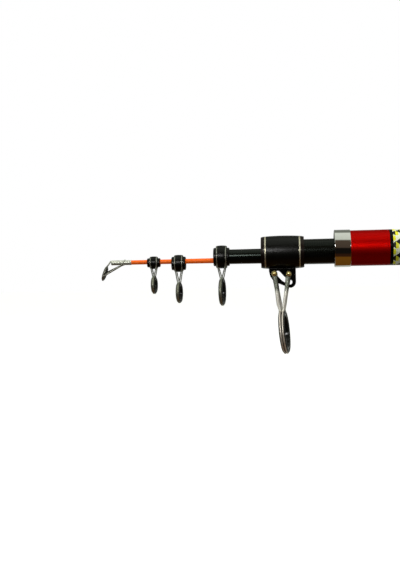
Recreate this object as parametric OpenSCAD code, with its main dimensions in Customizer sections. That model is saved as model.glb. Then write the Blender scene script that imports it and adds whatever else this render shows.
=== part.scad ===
// Telescopic fishing rod, collapsed, with folding and floating line guides.
// X runs along the rod with the tip at -X, the guides hang toward -Z.

/* [Sections] */
// Reach of section 2 in front of the handle's mouth
section_2_reach = 40; // [38:0.1:44]
// Reach of section 3 in front of the handle's mouth
section_3_reach = 66.2; // [62:0.1:72]
// Reach of the tip rod in front of the handle's mouth
tip_reach = 123.3; // [118:0.1:135]
// Length of a section that stays in its parent when drawn out
overlap = 45; // [35:1:60]
// Diameter of the tip rod at its front end
tip_d = 2.3; // [2.2:0.05:2.6]
// Growth of the tip rod's diameter over one metre
tip_taper = 9; // [8:0.25:10]
// Wall of section 3
section_3_wall = 0.56; // [0.5:0.01:0.7]
// Wall of section 2 at its front end
section_2_wall_front = 0.76; // [0.6:0.01:0.9]
// Wall of section 2 at its rear end
section_2_wall_rear = 0.44; // [0.4:0.01:0.7]
// Wall of the handle tube
handle_wall = 1.26; // [1:0.02:1.4]

/* [Fits] */
// Gap between a collapsed section and the bore that it lies in
rest_gap = 0.1; // [0.05:0.01:0.2]
// Radial gap where a drawn-out section or a floating guide wedges
fit_gap = 0.05; // [0.03:0.01:0.08]
// Radial gap of turning and sliding pieces
run_gap = 0.08; // [0.05:0.01:0.1]
// Glue line between pieces that don't move
glue_gap = 0.04; // [0.02:0.01:0.06]

/* [Handle front] */
// Length of the mouth ferrule
ferrule_len = 8.7; // [8:0.1:12]
// Wall of the mouth ferrule
ferrule_wall = 0.42; // [0.35:0.01:0.8]
// Depth of the ferrule's lip in front of the tube
ferrule_lip = 1.2; // [0.8:0.1:2]
// Bare red stretch behind the ferrule
red_front_len = 20.9; // [16:0.1:26]
// Width of the black bands beside the wrap
wrap_band_w = 1.7; // [1.2:0.1:2.5]
// Length of the patterned wrap
wrap_len = 80.1; // [60:0.1:100]
// Thickness of the wrap and its bands
wrap_t = 0.16; // [0.1:0.01:0.3]
// Glue line under the wrap
wrap_glue = 0.1; // [0.06:0.01:0.15]
// Bare red stretch behind the wrap
red_rear_len = 26.9; // [15:0.1:40]

/* [Grips] */
// Length of the front winding check
front_check_len = 3; // [2:0.5:5]
// Wall of the front winding check
front_check_wall = 1.5; // [1:0.1:1.8]
// Length of the foregrip
foregrip_len = 57; // [45:1:80]
// Diameter of the foregrip's front end
foregrip_front_d = 24.4; // [23.5:0.1:26]
// Diameter of the foregrip's rear end
foregrip_rear_d = 27.6; // [26:0.1:29]
// Length of the rear winding check
rear_check_len = 4; // [3:0.5:6]
// Wall of the rear winding check
rear_check_wall = 2.4; // [1.8:0.1:3]
// Length of the rear grip
rear_grip_len = 120; // [90:1:160]
// Diameter of the rear grip
rear_grip_d = 28; // [26:0.5:32]
// Edge rounding of the grips as a share of their foam's wall
grip_round_share = 0.7; // [0.4:0.05:0.9]

/* [Reel seat] */
// Length of the reel seat
seat_len = 112; // [106:1:125]
// Least thickness of the arbors under the reel seat
arbor_t = 0.45; // [0.3:0.05:0.8]
// Length of each arbor
arbor_len = 18; // [12:1:24]
// Wall of the reel seat's barrel
seat_wall = 1.3; // [1.1:0.05:1.6]
// Depth of the thread's grooves
thread_depth = 0.5; // [0.3:0.05:0.6]
// Pitch of the reel seat's thread
thread_pitch = 3; // [2:0.25:4]
// Length of the threaded stretch
thread_len = 44; // [36:1:46]
// Plain stretch of barrel behind the thread
thread_end = 6; // [4:0.5:8]
// Length of each hood
hood_len = 22; // [18:0.5:24]
// Wall of the hoods
hood_wall = 1.5; // [1.2:0.1:2]
// Depth of the pocket in each hood
pocket_depth = 17; // [13:0.5:17.5]
// Radius of the pocket's round floor
pocket_r = 11.5; // [11:0.1:12]
// Drop of the pocket's axis below the rod's axis
pocket_drop = 7.5; // [7:0.1:8]
// Travel of the sliding hood
hood_travel = 26; // [15:1:30]
// Length of the lock nut
nut_len = 13.6; // [10:0.2:16]
// Wall of the lock nut
nut_wall = 2; // [1.6:0.1:2.6]
// Number of grip flutes round the lock nut
nut_flutes = 30; // [20:1:40]
// Depth of the lock nut's flutes
flute_depth = 0.5; // [0.2:0.05:0.8]
// Play between the hood and the lock nut
nut_gap = 0.3; // [0.2:0.05:0.6]
// Width of the hood's key
key_w = 2.8; // [2:0.1:4]
// Height of the hood's key
key_h = 0.5; // [0.3:0.05:0.6]

/* [Butt] */
// Length of the threaded insert
insert_len = 10; // [8:0.5:11]
// Wall of the threaded insert
insert_wall = 1.1; // [0.8:0.05:1.3]
// Depth of the cap's spigot in the handle
spigot_len = 11.7; // [11:0.1:16]
// Wall of the cap's hollow spigot
spigot_wall = 2; // [1.5:0.1:3]
// Thickness of the foam cushion under the sections
cushion_t = 4; // [2:0.5:6]
// Gap between the cushion and the sections
cushion_gap = 0.3; // [0.2:0.05:0.5]
// Thickness of the cap's seal
seal_t = 1; // [0.6:0.1:1.5]
// Thickness of the cap's flange
flange_t = 3; // [2:0.5:5]
// Diameter of the cap's flange
flange_d = 26.4; // [25:0.2:27]
// Thickness of the rubber butt pad
pad_t = 6; // [4:0.5:9]
// Edge rounding of the butt pad
pad_round = 2.5; // [1.5:0.1:3.5]

/* [Large sleeve] */
// Length of the large sleeve
large_sleeve_len = 23.5; // [22:0.1:23.5]
// Diameter of the large sleeve at its crown
large_sleeve_d = 18.3; // [17.8:0.1:18.8]
// Diameter of the large sleeve at its ends
large_sleeve_end_d = 16.8; // [16:0.1:17.2]
// Distance of the large sleeve's bands from its ends
large_band_inset = 2; // [1.6:0.1:2.6]
// Width of the large sleeve's bands
band_w = 0.75; // [0.5:0.05:1]
// Depth of the bands in the sleeve
band_depth = 0.3; // [0.2:0.05:0.4]
// Thickness of the bracket across the rod
bracket_t = 5; // [4:0.1:6]
// Distance from the sleeve's front to the bracket's front edge
bracket_inset = 4.15; // [3.5:0.05:4.5]
// Length of the bracket along the rod
bracket_len = 14.65; // [14.4:0.05:15.2]
// Drop of the bracket's lowest corner below the handle's axis
bracket_drop = 21; // [20.4:0.1:22]
// Width of the curved slot in the bracket
slot_w = 2.5; // [2:0.1:2.8]

/* [Large folding guide] */
// Distance from the bracket's front edge to the snap rivets
snap_inset = 2.9; // [2.7:0.05:3.2]
// Distance from the snap rivets to the pivot rivet
rivet_pitch = 7.85; // [7.6:0.05:8]
// Drop of the snap rivets below the handle's axis
snap_drop = 12.95; // [12.9:0.05:13.2]
// Drop of the pivot rivet below the handle's axis
pivot_drop = 13.3; // [13.2:0.05:13.5]
// Diameter of the rivets' shanks
rivet_d = 1.6; // [1.2:0.1:1.8]
// Diameter of the rivets' ball heads
rivet_head_d = 3; // [2.4:0.1:3.2]
// Diameter of the eyes at the upper ends of the legs
eye_d = 3.4; // [3:0.1:3.8]
// Width of the flat legs
leg_w = 1.9; // [1.7:0.1:2.2]
// Thickness of the flat legs
leg_t = 1; // [0.8:0.05:1.4]
// Side gap between the legs and the bracket
leg_side_gap = 0.15; // [0.1:0.01:0.3]
// Outer diameter of the large ring
large_ring_d = 25; // [23:0.1:27]
// Thickness of the large ring
large_ring_t = 3.5; // [2.8:0.1:4]
// Drop of the large ring's centre below the handle's axis
large_ring_drop = 44.9; // [43.5:0.1:50]
// Distance of the large ring's centre in front of the pivot
large_ring_ahead = 3; // [2:0.1:4]
// Lean of the large ring, lower edge toward the butt
large_ring_lean = 4.7; // [0:0.1:8]
// Turn of the large ring on its legs, rear face toward -Y
large_ring_turn = 6.6; // [0:0.2:10]
// Diameter of the large ring's hoop wire
large_wire_d = 1.2; // [1:0.1:1.4]
// Radial width of the large shock ring
large_shock_w = 1.9; // [1.5:0.05:2.2]
// Radial width of the large ceramic insert
large_ceramic_w = 1.4; // [0.9:0.05:1.6]

/* [Guide 3 on section 3] */
// Length of the guide 3 sleeve
guide_3_len = 8.8; // [8.4:0.1:10]
// Diameter of the guide 3 sleeve
guide_3_d = 12.7; // [12:0.05:13.2]
// Diameter of the guide 3 sleeve's shoulders
guide_3_shoulder_d = 10.1; // [9.6:0.05:10.6]
// Outer diameter of guide 3's ring
guide_3_ring_d = 15.7; // [14.5:0.1:17]
// Drop of guide 3's ring below its sleeve's axis
guide_3_drop = 19.1; // [18:0.1:22]

/* [Floating guide 2] */
// Reach of guide 2's sleeve in front of the handle's mouth
guide_2_reach = 89.5; // [88:0.1:92]
// Length of the guide 2 sleeve
guide_2_len = 7.8; // [7.4:0.1:8.6]
// Diameter of the guide 2 sleeve
guide_2_d = 9.5; // [8.9:0.05:9.9]
// Diameter of the guide 2 sleeve's shoulders
guide_2_shoulder_d = 7.4; // [7:0.05:7.8]
// Distance from the tip rod's front end to where guide 2 wedges
guide_2_wedge = 289; // [270:1:310]
// Outer diameter of guide 2's ring
guide_2_ring_d = 11.8; // [11:0.1:13]
// Drop of guide 2's ring below its sleeve's axis
guide_2_drop = 16.1; // [15:0.1:18]

/* [Floating guide 1] */
// Reach of guide 1's sleeve in front of the handle's mouth
guide_1_reach = 103.1; // [101:0.1:105]
// Length of the guide 1 sleeve
guide_1_len = 7.3; // [7:0.1:8]
// Diameter of the guide 1 sleeve
guide_1_d = 7; // [6.5:0.05:7.4]
// Diameter of the guide 1 sleeve's shoulders
guide_1_shoulder_d = 5; // [4.8:0.05:5.4]
// Distance from the tip rod's front end to where guide 1 wedges
guide_1_wedge = 122; // [110:1:130]
// Outer diameter of guide 1's ring
guide_1_ring_d = 10.1; // [9.6:0.1:11.5]
// Drop of guide 1's ring below its sleeve's axis
guide_1_drop = 12.3; // [11.2:0.1:14]

/* [Small guides] */
// Length of the shoulders at both ends of a small sleeve
shoulder_len = 1.45; // [1.2:0.05:1.7]
// Distance of a wire's loop from its shoulder
loop_inset = 0.2; // [0.15:0.05:0.4]
// Height of a wire's loop over its sleeve
loop_proud = 0.08; // [0.05:0.01:0.2]
// Height of a small sleeve's crown over its ends
barrel_crown = 0.4; // [0.2:0.05:0.6]
// Thickness of a small guide's ring
ring_t = 2.4; // [2:0.1:3]
// Turn of a small guide's ring on its legs, rear face toward -Y
ring_turn = 5; // [0:0.2:8]
// Radial width of the small shock rings
shock_w = 1.2; // [1.15:0.05:1.4]
// Radial width of the small ceramic inserts
ceramic_w = 0.65; // [0.5:0.05:0.8]
// Side step between a shock ring and its insert
ceramic_step = 0.25; // [0.1:0.05:0.4]
// Height of the hoop wire over the shock ring
hoop_proud = 0.3; // [0.2:0.05:0.4]
// Diameter of the small guides' wire
wire_d = 0.65; // [0.55:0.05:0.9]
// Angle from the top of the large ring to where its legs join
join_angle = 18; // [14:1:24]
// Angle from the top of a small ring to where its legs join
small_join_angle = 38; // [30:1:42]

/* [Tip top] */
// Length of the tip top's tube
tip_tube_len = 11.3; // [10:0.1:14]
// Diameter of the tip top's tube
tip_tube_d = 2.7; // [2.4:0.05:2.9]
// Diameter of the tip rod inside the tube
tip_spigot_d = 1.9; // [1.6:0.05:2]
// Thickness of the tube's closed front end
tip_nose = 0.8; // [0.5:0.1:1.5]
// Outer diameter of the tip ring
tip_ring_d = 8.6; // [8:0.1:10]
// Thickness of the tip ring
tip_ring_t = 1.6; // [1.4:0.1:2.2]
// Distance of the tip ring's centre in front of the tube
tip_ring_ahead = 3.9; // [3.4:0.1:5]
// Drop of the tip ring's centre below the tube's axis
tip_ring_drop = 6; // [5.6:0.1:7]
// Lean of the tip ring, lower edge toward the tip
tip_ring_lean = 18.8; // [10:0.2:25]
// Distance from the tube's front to its brace collar
collar_back = 5.4; // [4.5:0.1:7]
// Length of the brace collar
collar_len = 1.3; // [1:0.1:2]
// Diameter of the tip top's wires
tip_wire_d = 0.9; // [0.7:0.05:1]
// Angle from the top of the tip ring to where its braces join
brace_angle = 100; // [80:1:110]
// Roll of the tip ring round the tube, -Y side down
tip_ring_roll = 14; // [0:1:20]
// Turn of the tip ring on its wires, rear face toward -Y
tip_ring_turn = 4; // [0:0.5:8]

/* [Hidden] */
$fn = 64;

// Colours as the object shows them
lacquer_red = [0.72, 0.05, 0.03];
carbon_black = [0.08, 0.08, 0.07];
moulded_black = [0.06, 0.06, 0.05];
foam_black = [0.12, 0.12, 0.12];
chrome_grey = [0.75, 0.76, 0.72];
brass_yellow = [0.8, 0.66, 0.3];
band_silver = [0.75, 0.72, 0.6];
wrap_yellow = [0.86, 0.84, 0.2];
tip_orange = [0.98, 0.38, 0.14];
ring_olive = [0.16, 0.17, 0.13];

// Stations along the handle, counted back from its mouth
wrap_front = ferrule_len + red_front_len;
wrap_back = wrap_front + wrap_len + 2 * wrap_band_w;
check_front = wrap_back + red_rear_len;
foregrip_front = check_front + front_check_len;
seat_front = foregrip_front + foregrip_len;
seat_back = seat_front + seat_len;
grip_front = seat_back + rear_check_len;
grip_back = grip_front + rear_grip_len;
grip_middle = (grip_front + grip_back) / 2;
stow_depth = grip_back - spigot_len - cushion_t - cushion_gap;

// Radii along the rod at station x, each parent's bore follows the taper of the section in it
tip_slope = tip_taper / 2000;
section_2_len = stow_depth + section_2_reach;
section_2_slope = tip_slope + (section_2_wall_rear - section_2_wall_front) / section_2_len;
wedge_x = stow_depth - overlap;
function tip_r(x) = tip_d / 2 + tip_slope * (x + tip_reach);
function section_3_bore(x) = tip_r(wedge_x) + fit_gap + tip_slope * (x + section_3_reach);
function section_3_r(x) = section_3_bore(x) + section_3_wall;
function section_2_bore(x) = section_3_r(wedge_x) + fit_gap + tip_slope * (x + section_2_reach);
function section_2_r(x) =
    section_2_bore(-section_2_reach) + section_2_wall_front + section_2_slope * (x + section_2_reach);
function handle_bore(x) = section_2_r(wedge_x) + fit_gap + section_2_slope * x;
function handle_r(x) = handle_bore(x) + handle_wall;

// Each collapsed section lies on the bottom of the bore that holds it
section_2_z = -(handle_bore(0) - section_2_r(0) - rest_gap);
section_3_z = section_2_z - (section_2_bore(-section_2_reach) - section_3_r(-section_2_reach) - rest_gap);
tip_z = section_3_z - (section_3_bore(-section_3_reach) - tip_r(-section_3_reach) - rest_gap);

// A floating guide's bore fits the tip rod where the guide wedges, and it hangs on the rod at rest
guide_1_bore = tip_r(guide_1_wedge - tip_reach) + fit_gap;
guide_2_bore = tip_r(guide_2_wedge - tip_reach) + fit_gap;
guide_1_z = tip_z - (guide_1_bore - tip_r(-guide_1_reach) - rest_gap);
guide_2_z = tip_z - (guide_2_bore - tip_r(-guide_2_reach) - rest_gap);

// Reel seat
seat_bore = handle_r(seat_back) + arbor_t;
seat_r = seat_bore + seat_wall;
thread_back = seat_back - thread_end;
thread_front = thread_back - thread_len;
nut_back = thread_back - thread_end / 3;
hood_back = nut_back - nut_len - nut_gap;
hood_bore = seat_r + run_gap;
seat_lip = 1;
keyway_front = hood_back - hood_len - hood_travel;

// Butt
insert_r = handle_bore(grip_back - insert_len) - glue_gap;
insert_bore = insert_r - insert_wall;
spigot_r = insert_bore - run_gap;
cushion_r = spigot_r - cushion_gap;
flange_front = grip_back + seal_t;
pad_front = flange_front + flange_t;

// Large guide, in the side view of the rod
bracket_front = -section_2_reach + bracket_inset;
snap_x = bracket_front + snap_inset;
pivot_x = snap_x + rivet_pitch;
large_ring_x = pivot_x - large_ring_ahead;
eye_y = bracket_t / 2 + leg_side_gap + leg_t / 2;
large_join_r = 0.53 * leg_w;
bracket_root = 1;
bracket_corner = 0.22 * bracket_len;
chin_drop = snap_drop + rivet_d;
chin_depth = bracket_drop - chin_drop;
// Points of the bracket's sloping chin, as shares of its length and of its depth
chin_shares = [[0.045, 0], [0.15, 0.355], [0.365, 0.62], [0.575, 0.825]];
// Start, run, rise and fall of the bracket's curved slot
slot_start = 0.24 * rivet_pitch;
slot_run = 0.84 * rivet_pitch;
slot_rise = 0.12 * rivet_d;
slot_fall = 0.79 * chin_depth;
arc_steps = 6;

// A guide's two wires lie side by side round its ring, sunk into each other where they are brazed
hoop_pitch_share = 0.9;
// A brazed joint is a ball a little larger than its wire
joint_share = 0.62;
// The crown of a dark ring, as a share of its radial width
crown_share = 0.7;
// A small guide's leg leaves its loop no further out than this share of the loop's radius
foot_share = 0.88;

// The values of a small guide: ring diameter, ring centre x, drop, sleeve radius, front and rear wire x
loop_back = shoulder_len + loop_inset + wire_d / 2;
function small_guide(ring_d, front, len, drop, sleeve_d) =
    [ring_d, front + len / 2, drop, sleeve_d / 2, [front + loop_back, front + len - loop_back]];
function g_ring_d(g) = g[0];
function g_ring_x(g) = g[1];
function g_drop(g) = g[2];
function g_sleeve_r(g) = g[3];
function g_wire_x(g, i) = g[4][i];
guide_1 = small_guide(guide_1_ring_d, -guide_1_reach, guide_1_len, guide_1_drop, guide_1_d);
guide_2 = small_guide(guide_2_ring_d, -guide_2_reach, guide_2_len, guide_2_drop, guide_2_d);
guide_3 = small_guide(guide_3_ring_d, -section_3_reach, guide_3_len, guide_3_drop, guide_3_d);

// Points of an arc round [cx, cy]
function arc(cx, cy, r, from, to, steps = arc_steps) = [
    for (i = [0 : steps])
        let (a = from + (to - from) * i / steps)
            [cx + r * cos(a), cy + r * sin(a)]
];

// Outline of a rectangle with rounded corners
function rounded(x0, x1, y0, y1, r) = concat(
    arc(x1 - r, y1 - r, r, 0, 90),
    arc(x0 + r, y1 - r, r, 90, 180),
    arc(x0 + r, y0 + r, r, 180, 270),
    arc(x1 - r, y0 + r, r, 270, 360)
);

// Places a piece given in stations from the mouth, at height z
module on_rod(z = 0) {
    translate([-grip_middle, 0, z]) children();
}

// A solid turned about the X axis from points [x, radius]
module turned(points) {
    rotate([0, 90, 0]) rotate_extrude() polygon([for (p = points) [p[1], p[0]]]);
}

// A hollow turned piece between two stations
module sleeve_between(x0, x1, in0, in1, out0, out1) {
    turned([[x0, in0], [x1, in1], [x1, out1], [x0, out0]]);
}

// A straight round bar along X
module bar(x0, x1, r) {
    translate([x0, 0, 0]) rotate([0, 90, 0]) cylinder(h = x1 - x0, r = r);
}

// A closed hoop of round wire about the X axis
module hoop(r, wire_r) {
    rotate([0, 90, 0]) rotate_extrude() translate([r, 0]) circle(r = wire_r);
}

// Carries its children's Z axis along the line from a to b, with their X axis upright in the side view
module along(a, b) {
    d = b - a;
    translate(a) rotate([-asin(d[1] / norm(d)), atan2(d[0], d[2]), 0]) children();
}

// A round wire from a to b
module wire(a, b, r) {
    along(a, b) cylinder(h = norm(b - a), r = r);
}

// A flat strip with rounded edges from a to b
module strip(a, b, w, t) {
    along(a, b) linear_extrude(height = norm(b - a))
        polygon(rounded(-w / 2, w / 2, -t / 2, t / 2, 0.45 * t));
}

// Handle pieces

module handle_tube() {
    seat_depth = wrap_t + wrap_glue;
    color(lacquer_red) on_rod() turned([
        [ferrule_lip, handle_bore(ferrule_lip)], [grip_back, handle_bore(grip_back)],
        [grip_back, handle_r(grip_back)],
        [wrap_back, handle_r(wrap_back)], [wrap_back, handle_r(wrap_back) - seat_depth],
        [wrap_front, handle_r(wrap_front) - seat_depth], [wrap_front, handle_r(wrap_front)],
        [ferrule_lip, handle_r(ferrule_lip)]
    ]);
}

module mouth_ferrule() {
    seat = handle_r(ferrule_len) + glue_gap;
    outer = seat + ferrule_wall;
    edge = 0.6 * ferrule_wall;
    color(chrome_grey) on_rod() turned(concat(
        [[0, handle_bore(0)], [ferrule_lip - glue_gap, handle_bore(ferrule_lip)],
            [ferrule_lip - glue_gap, seat], [ferrule_len, seat]],
        arc(ferrule_len - edge, outer - edge, edge, 0, 90),
        arc(edge, outer - edge, edge, 90, 180)
    ));
}

// A thin skin let into the handle tube, flush with its surface
module skin(x0, x1) {
    sleeve_between(x0, x1, handle_r(x0) - wrap_t, handle_r(x1) - wrap_t, handle_r(x0), handle_r(x1));
}

module diamond_wrap() {
    color(wrap_yellow) on_rod() skin(wrap_front + wrap_band_w, wrap_back - wrap_band_w);
}

module wrap_bands() {
    color(moulded_black) on_rod() for (x = [wrap_front, wrap_back - wrap_band_w])
        skin(x, x + wrap_band_w);
}

module front_check() {
    inner = handle_r(foregrip_front) + glue_gap;
    edge = 0.5 * front_check_wall;
    color(chrome_grey) on_rod() turned(concat(
        [[check_front, inner], [foregrip_front, inner], [foregrip_front, inner + front_check_wall]],
        arc(check_front + edge, inner + front_check_wall - edge, edge, 90, 180)
    ));
}

// A foam grip on the handle tube with rounded edges
module grip(x0, x1, r0, r1, colour) {
    in0 = handle_r(x0) + glue_gap;
    in1 = handle_r(x1) + glue_gap;
    round0 = grip_round_share * (r0 - in0);
    round1 = grip_round_share * (r1 - in1);
    color(colour) on_rod() turned(concat(
        [[x0, in0], [x1, in1]],
        arc(x1 - round1, r1 - round1, round1, 0, 90),
        arc(x0 + round0, r0 - round0, round0, 90, 180)
    ));
}

module foregrip() {
    grip(foregrip_front, seat_front, foregrip_front_d / 2, foregrip_rear_d / 2, foam_black);
}

module rear_grip() {
    grip(grip_front, grip_back, rear_grip_d / 2, rear_grip_d / 2, foam_black);
}

module rear_check() {
    inner = handle_r(grip_front) + glue_gap;
    edge = 0.4 * rear_check_wall;
    outer = inner + rear_check_wall;
    color(chrome_grey) on_rod() turned(concat(
        [[seat_back, inner], [grip_front, inner]],
        arc(grip_front - edge, outer - edge, edge, 0, 90),
        arc(seat_back + edge, outer - edge, edge, 90, 180)
    ));
}

module seat_arbors() {
    pitch = (seat_len - arbor_len - 2 * seat_lip) / 2;
    color(foam_black) on_rod() for (i = [0 : 2]) {
        x0 = seat_front + seat_lip + i * pitch;
        x1 = x0 + arbor_len;
        sleeve_between(x0, x1, handle_r(x0) + glue_gap, handle_r(x1) + glue_gap,
            seat_bore - glue_gap, seat_bore - glue_gap);
    }
}

// Outline of the thread's grooves, cut below the barrel's surface
function thread_points() = [
    for (i = [0 : floor(thread_len / thread_pitch) - 1])
        for (p = [[0.1, 0], [0.4, thread_depth], [0.6, thread_depth], [0.9, 0]])
            [thread_back - (i + p[0]) * thread_pitch, seat_r - p[1]]
];

module reel_seat() {
    keyway_w = key_w + 2 * run_gap;
    keyway_h = key_h + run_gap;
    color(carbon_black) on_rod() difference() {
        turned(concat(
            [[seat_front, seat_bore], [seat_back, seat_bore], [seat_back, seat_r]],
            thread_points(),
            [[seat_front, seat_r]]
        ));
        translate([keyway_front, -keyway_w / 2, seat_r - keyway_h])
            cube([hood_back - keyway_front, keyway_w, 2 * keyway_h]);
    }
}

// A hood shell from x0 to x1 on a bore, with its pocket open at x1
module hood(x0, x1, bore) {
    pocket_dir = x1 > x0 ? 1 : -1;
    past = 1;
    low = min(x0, x1);
    high = max(x0, x1);
    floor_x = x1 - pocket_dir * pocket_depth;
    difference() {
        union() {
            bar(low, high, bore + hood_wall);
            translate([0, 0, -pocket_drop]) bar(low, high, pocket_r + hood_wall);
        }
        bar(low - past, high + past, bore);
        translate([0, 0, -pocket_drop])
            bar(min(floor_x, x1 + pocket_dir * past), max(floor_x, x1 + pocket_dir * past), pocket_r);
    }
}

module fixed_hood() {
    color(moulded_black) on_rod() hood(seat_front, seat_front + hood_len, seat_r + glue_gap);
}

module sliding_hood() {
    sunk = 0.3;
    color(moulded_black) on_rod() union() {
        hood(hood_back, hood_back - hood_len, hood_bore);
        translate([hood_back - hood_len, -key_w / 2, seat_r - key_h])
            cube([hood_len, key_w, key_h + run_gap + sunk]);
    }
}

module lock_nut() {
    steps = 4 * nut_flutes;
    outer = hood_bore + nut_wall;
    color(moulded_black) on_rod() translate([nut_back - nut_len, 0, 0]) rotate([0, 90, 0]) difference() {
        linear_extrude(height = nut_len) polygon([
            for (i = [0 : steps - 1])
                let (a = 360 * i / steps, r = outer - flute_depth * (1 + cos(nut_flutes * a)) / 2)
                    [r * cos(a), r * sin(a)]
        ]);
        translate([0, 0, -nut_gap]) cylinder(h = nut_len + 2 * nut_gap, r = hood_bore);
    }
}

module butt_insert() {
    color(chrome_grey) on_rod()
        sleeve_between(grip_back - insert_len, grip_back, insert_bore, insert_bore, insert_r, insert_r);
}

module cap_seal() {
    color(foam_black) on_rod()
        sleeve_between(grip_back, flange_front, spigot_r + run_gap, spigot_r + run_gap,
            flange_d / 2, flange_d / 2);
}

module butt_cap() {
    hollow_r = spigot_r - spigot_wall;
    color(moulded_black) on_rod() turned([
        [grip_back - spigot_len, 0], [grip_back - spigot_len, spigot_r],
        [flange_front, spigot_r], [flange_front, flange_d / 2],
        [pad_front, flange_d / 2], [pad_front, hollow_r],
        [grip_back - spigot_len + spigot_wall, hollow_r], [grip_back - spigot_len + spigot_wall, 0]
    ]);
}

module butt_pad() {
    plug_r = spigot_r - spigot_wall - glue_gap;
    pad_r = flange_d / 2;
    pad_back = pad_front + pad_t;
    color(foam_black) on_rod() turned(concat(
        [[flange_front, 0], [flange_front, plug_r], [pad_front, plug_r], [pad_front, pad_r]],
        arc(pad_back - pad_round, pad_r - pad_round, pad_round, 90, 0),
        [[pad_back, 0]]
    ));
}

module section_cushion() {
    cushion_back = grip_back - spigot_len;
    color(foam_black) on_rod() bar(cushion_back - cushion_t, cushion_back, cushion_r);
}

// Section 2 and its folding guide

module section_2_tube() {
    color(carbon_black) on_rod(section_2_z)
        sleeve_between(-section_2_reach, stow_depth,
            section_2_bore(-section_2_reach), section_2_bore(stow_depth),
            section_2_r(-section_2_reach), section_2_r(stow_depth));
}

// Radius of the large sleeve's crowned side at a share of its length
function large_sleeve_r(share) =
    large_sleeve_end_d / 2 + (large_sleeve_d - large_sleeve_end_d) / 2 * sin(180 * share) ^ 0.5;

// Side outline of the bracket, as points [x, z] under the handle's axis
function bracket_outline() =
    let (
        x0 = bracket_front,
        x1 = bracket_front + bracket_len,
        top = section_2_z - large_sleeve_end_d / 2 + bracket_root
    ) concat(
        [[x0, top], [x0, -snap_drop + 0.75 * rivet_d]],
        [for (p = chin_shares) [x0 + p[0] * bracket_len, -chin_drop - p[1] * chin_depth]],
        arc(x1 - bracket_corner, -bracket_drop + bracket_corner, bracket_corner, 270, 360),
        [[x1, top]]
    );

// Middle line of the bracket's curved slot, from its open front end to its round rear end
function slot_line() = [
    for (i = [0 : 2 * arc_steps])
        let (t = i / (2 * arc_steps))
            [snap_x + slot_start + slot_run * t,
                -snap_drop + slot_rise - slot_fall * (t + (1 - cos(360 * t)) / 12)]
];

module bracket_side(points) {
    rotate([90, 0, 0]) linear_extrude(height = bracket_t, center = true) polygon(points);
}

// The curved slot as round-ended links along its middle line
module bracket_slot() {
    line = slot_line();
    past = 1;
    rotate([90, 0, 0]) for (i = [0 : len(line) - 1]) translate([line[i][0], line[i][1], 0])
        cylinder(h = bracket_t + past, d = slot_w, center = true);
}

module large_sleeve_bands() {
    color(band_silver) on_rod(section_2_z) for (x = [
        -section_2_reach + large_band_inset,
        -section_2_reach + large_sleeve_len - large_band_inset - band_w
    ]) band(x, large_sleeve_r((x + section_2_reach + band_w / 2) / large_sleeve_len));
}

// A band inlaid in a sleeve of radius r
module band(x, r, grow = 0) {
    sleeve_between(x - grow, x + band_w + grow, r - band_depth - grow, r - band_depth - grow,
        r + 2 * grow, r + 2 * grow);
}

module large_sleeve() {
    steps = 4 * arc_steps;
    x0 = -section_2_reach;
    x1 = x0 + large_sleeve_len;
    color(moulded_black) on_rod() difference() {
        union() {
            translate([0, 0, section_2_z]) turned(concat(
                [[x1, section_2_r(x1) + glue_gap], [x0, section_2_r(x0) + glue_gap]],
                [for (i = [0 : steps]) [x0 + (x1 - x0) * i / steps, large_sleeve_r(i / steps)]]
            ));
            bracket_side(bracket_outline());
        }
        translate([0, 0, section_2_z]) for (x = [x0 + large_band_inset, x1 - large_band_inset - band_w])
            band(x, large_sleeve_r((x - x0 + band_w / 2) / large_sleeve_len), glue_gap);
        bracket_slot();
        translate([pivot_x, 0, -pivot_drop]) rotate([90, 0, 0])
            cylinder(h = 2 * bracket_t, d = rivet_d + 2 * fit_gap, center = true);
    }
}

// Places children at the centre of the large ring, with the ring's axis along their X axis
module at_large_ring() {
    translate([large_ring_x, 0, -large_ring_drop]) rotate([0, -large_ring_lean, -large_ring_turn]) children();
}

// Offset along the ring's axis of wire i, 0 in front and 1 behind
function hoop_x(i, wire) = (i - 0.5) * hoop_pitch_share * wire;

// A point given from the large ring's centre in the ring's own directions
function large_ring_point(p) =
    let (
        x = p[0] * cos(large_ring_lean) - p[2] * sin(large_ring_lean),
        z = p[0] * sin(large_ring_lean) + p[2] * cos(large_ring_lean)
    ) [
        large_ring_x + x * cos(large_ring_turn) + p[1] * sin(large_ring_turn),
        p[1] * cos(large_ring_turn) - x * sin(large_ring_turn),
        z - large_ring_drop
    ];

// Point of the large ring's wire i on side s, where a leg joins it
function large_join(i, s) =
    let (r = (large_ring_d - large_wire_d) / 2)
        large_ring_point([hoop_x(i, large_wire_d), s * r * sin(join_angle), r * cos(join_angle)]);

// Eyes of the two wires: the front one snaps, the rear one turns
eyes = [[snap_x, snap_drop], [pivot_x, pivot_drop]];

// The folding frame's solid, or with grow the room that it needs in the ring
module large_frame_solid(grow = 0) {
    for (i = [0, 1]) {
        at_large_ring() translate([hoop_x(i, large_wire_d), 0, 0])
            hoop((large_ring_d - large_wire_d) / 2, large_wire_d / 2 + grow);
        for (s = [-1, 1]) {
            translate(large_join(i, s)) sphere(r = large_join_r + grow);
            strip([eyes[i][0], s * eye_y, -eyes[i][1]], large_join(i, s), leg_w + 2 * grow, leg_t + 2 * grow);
        }
    }
}

// The hole of an eye's rivet
module rivet_hole(x, drop, d) {
    translate([x, 0, -drop]) rotate([90, 0, 0])
        cylinder(h = 4 * eye_y, d = d, center = true);
}

module large_frame() {
    color(chrome_grey) on_rod() difference() {
        union() {
            large_frame_solid();
            for (s = [-1, 1], eye = eyes)
                translate([eye[0], s * eye_y, -eye[1]]) rotate([90, 0, 0])
                    cylinder(h = leg_t, d = eye_d, center = true);
        }
        for (eye = eyes) rivet_hole(eye[0], eye[1], rivet_d + 2 * glue_gap);
    }
}

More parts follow.
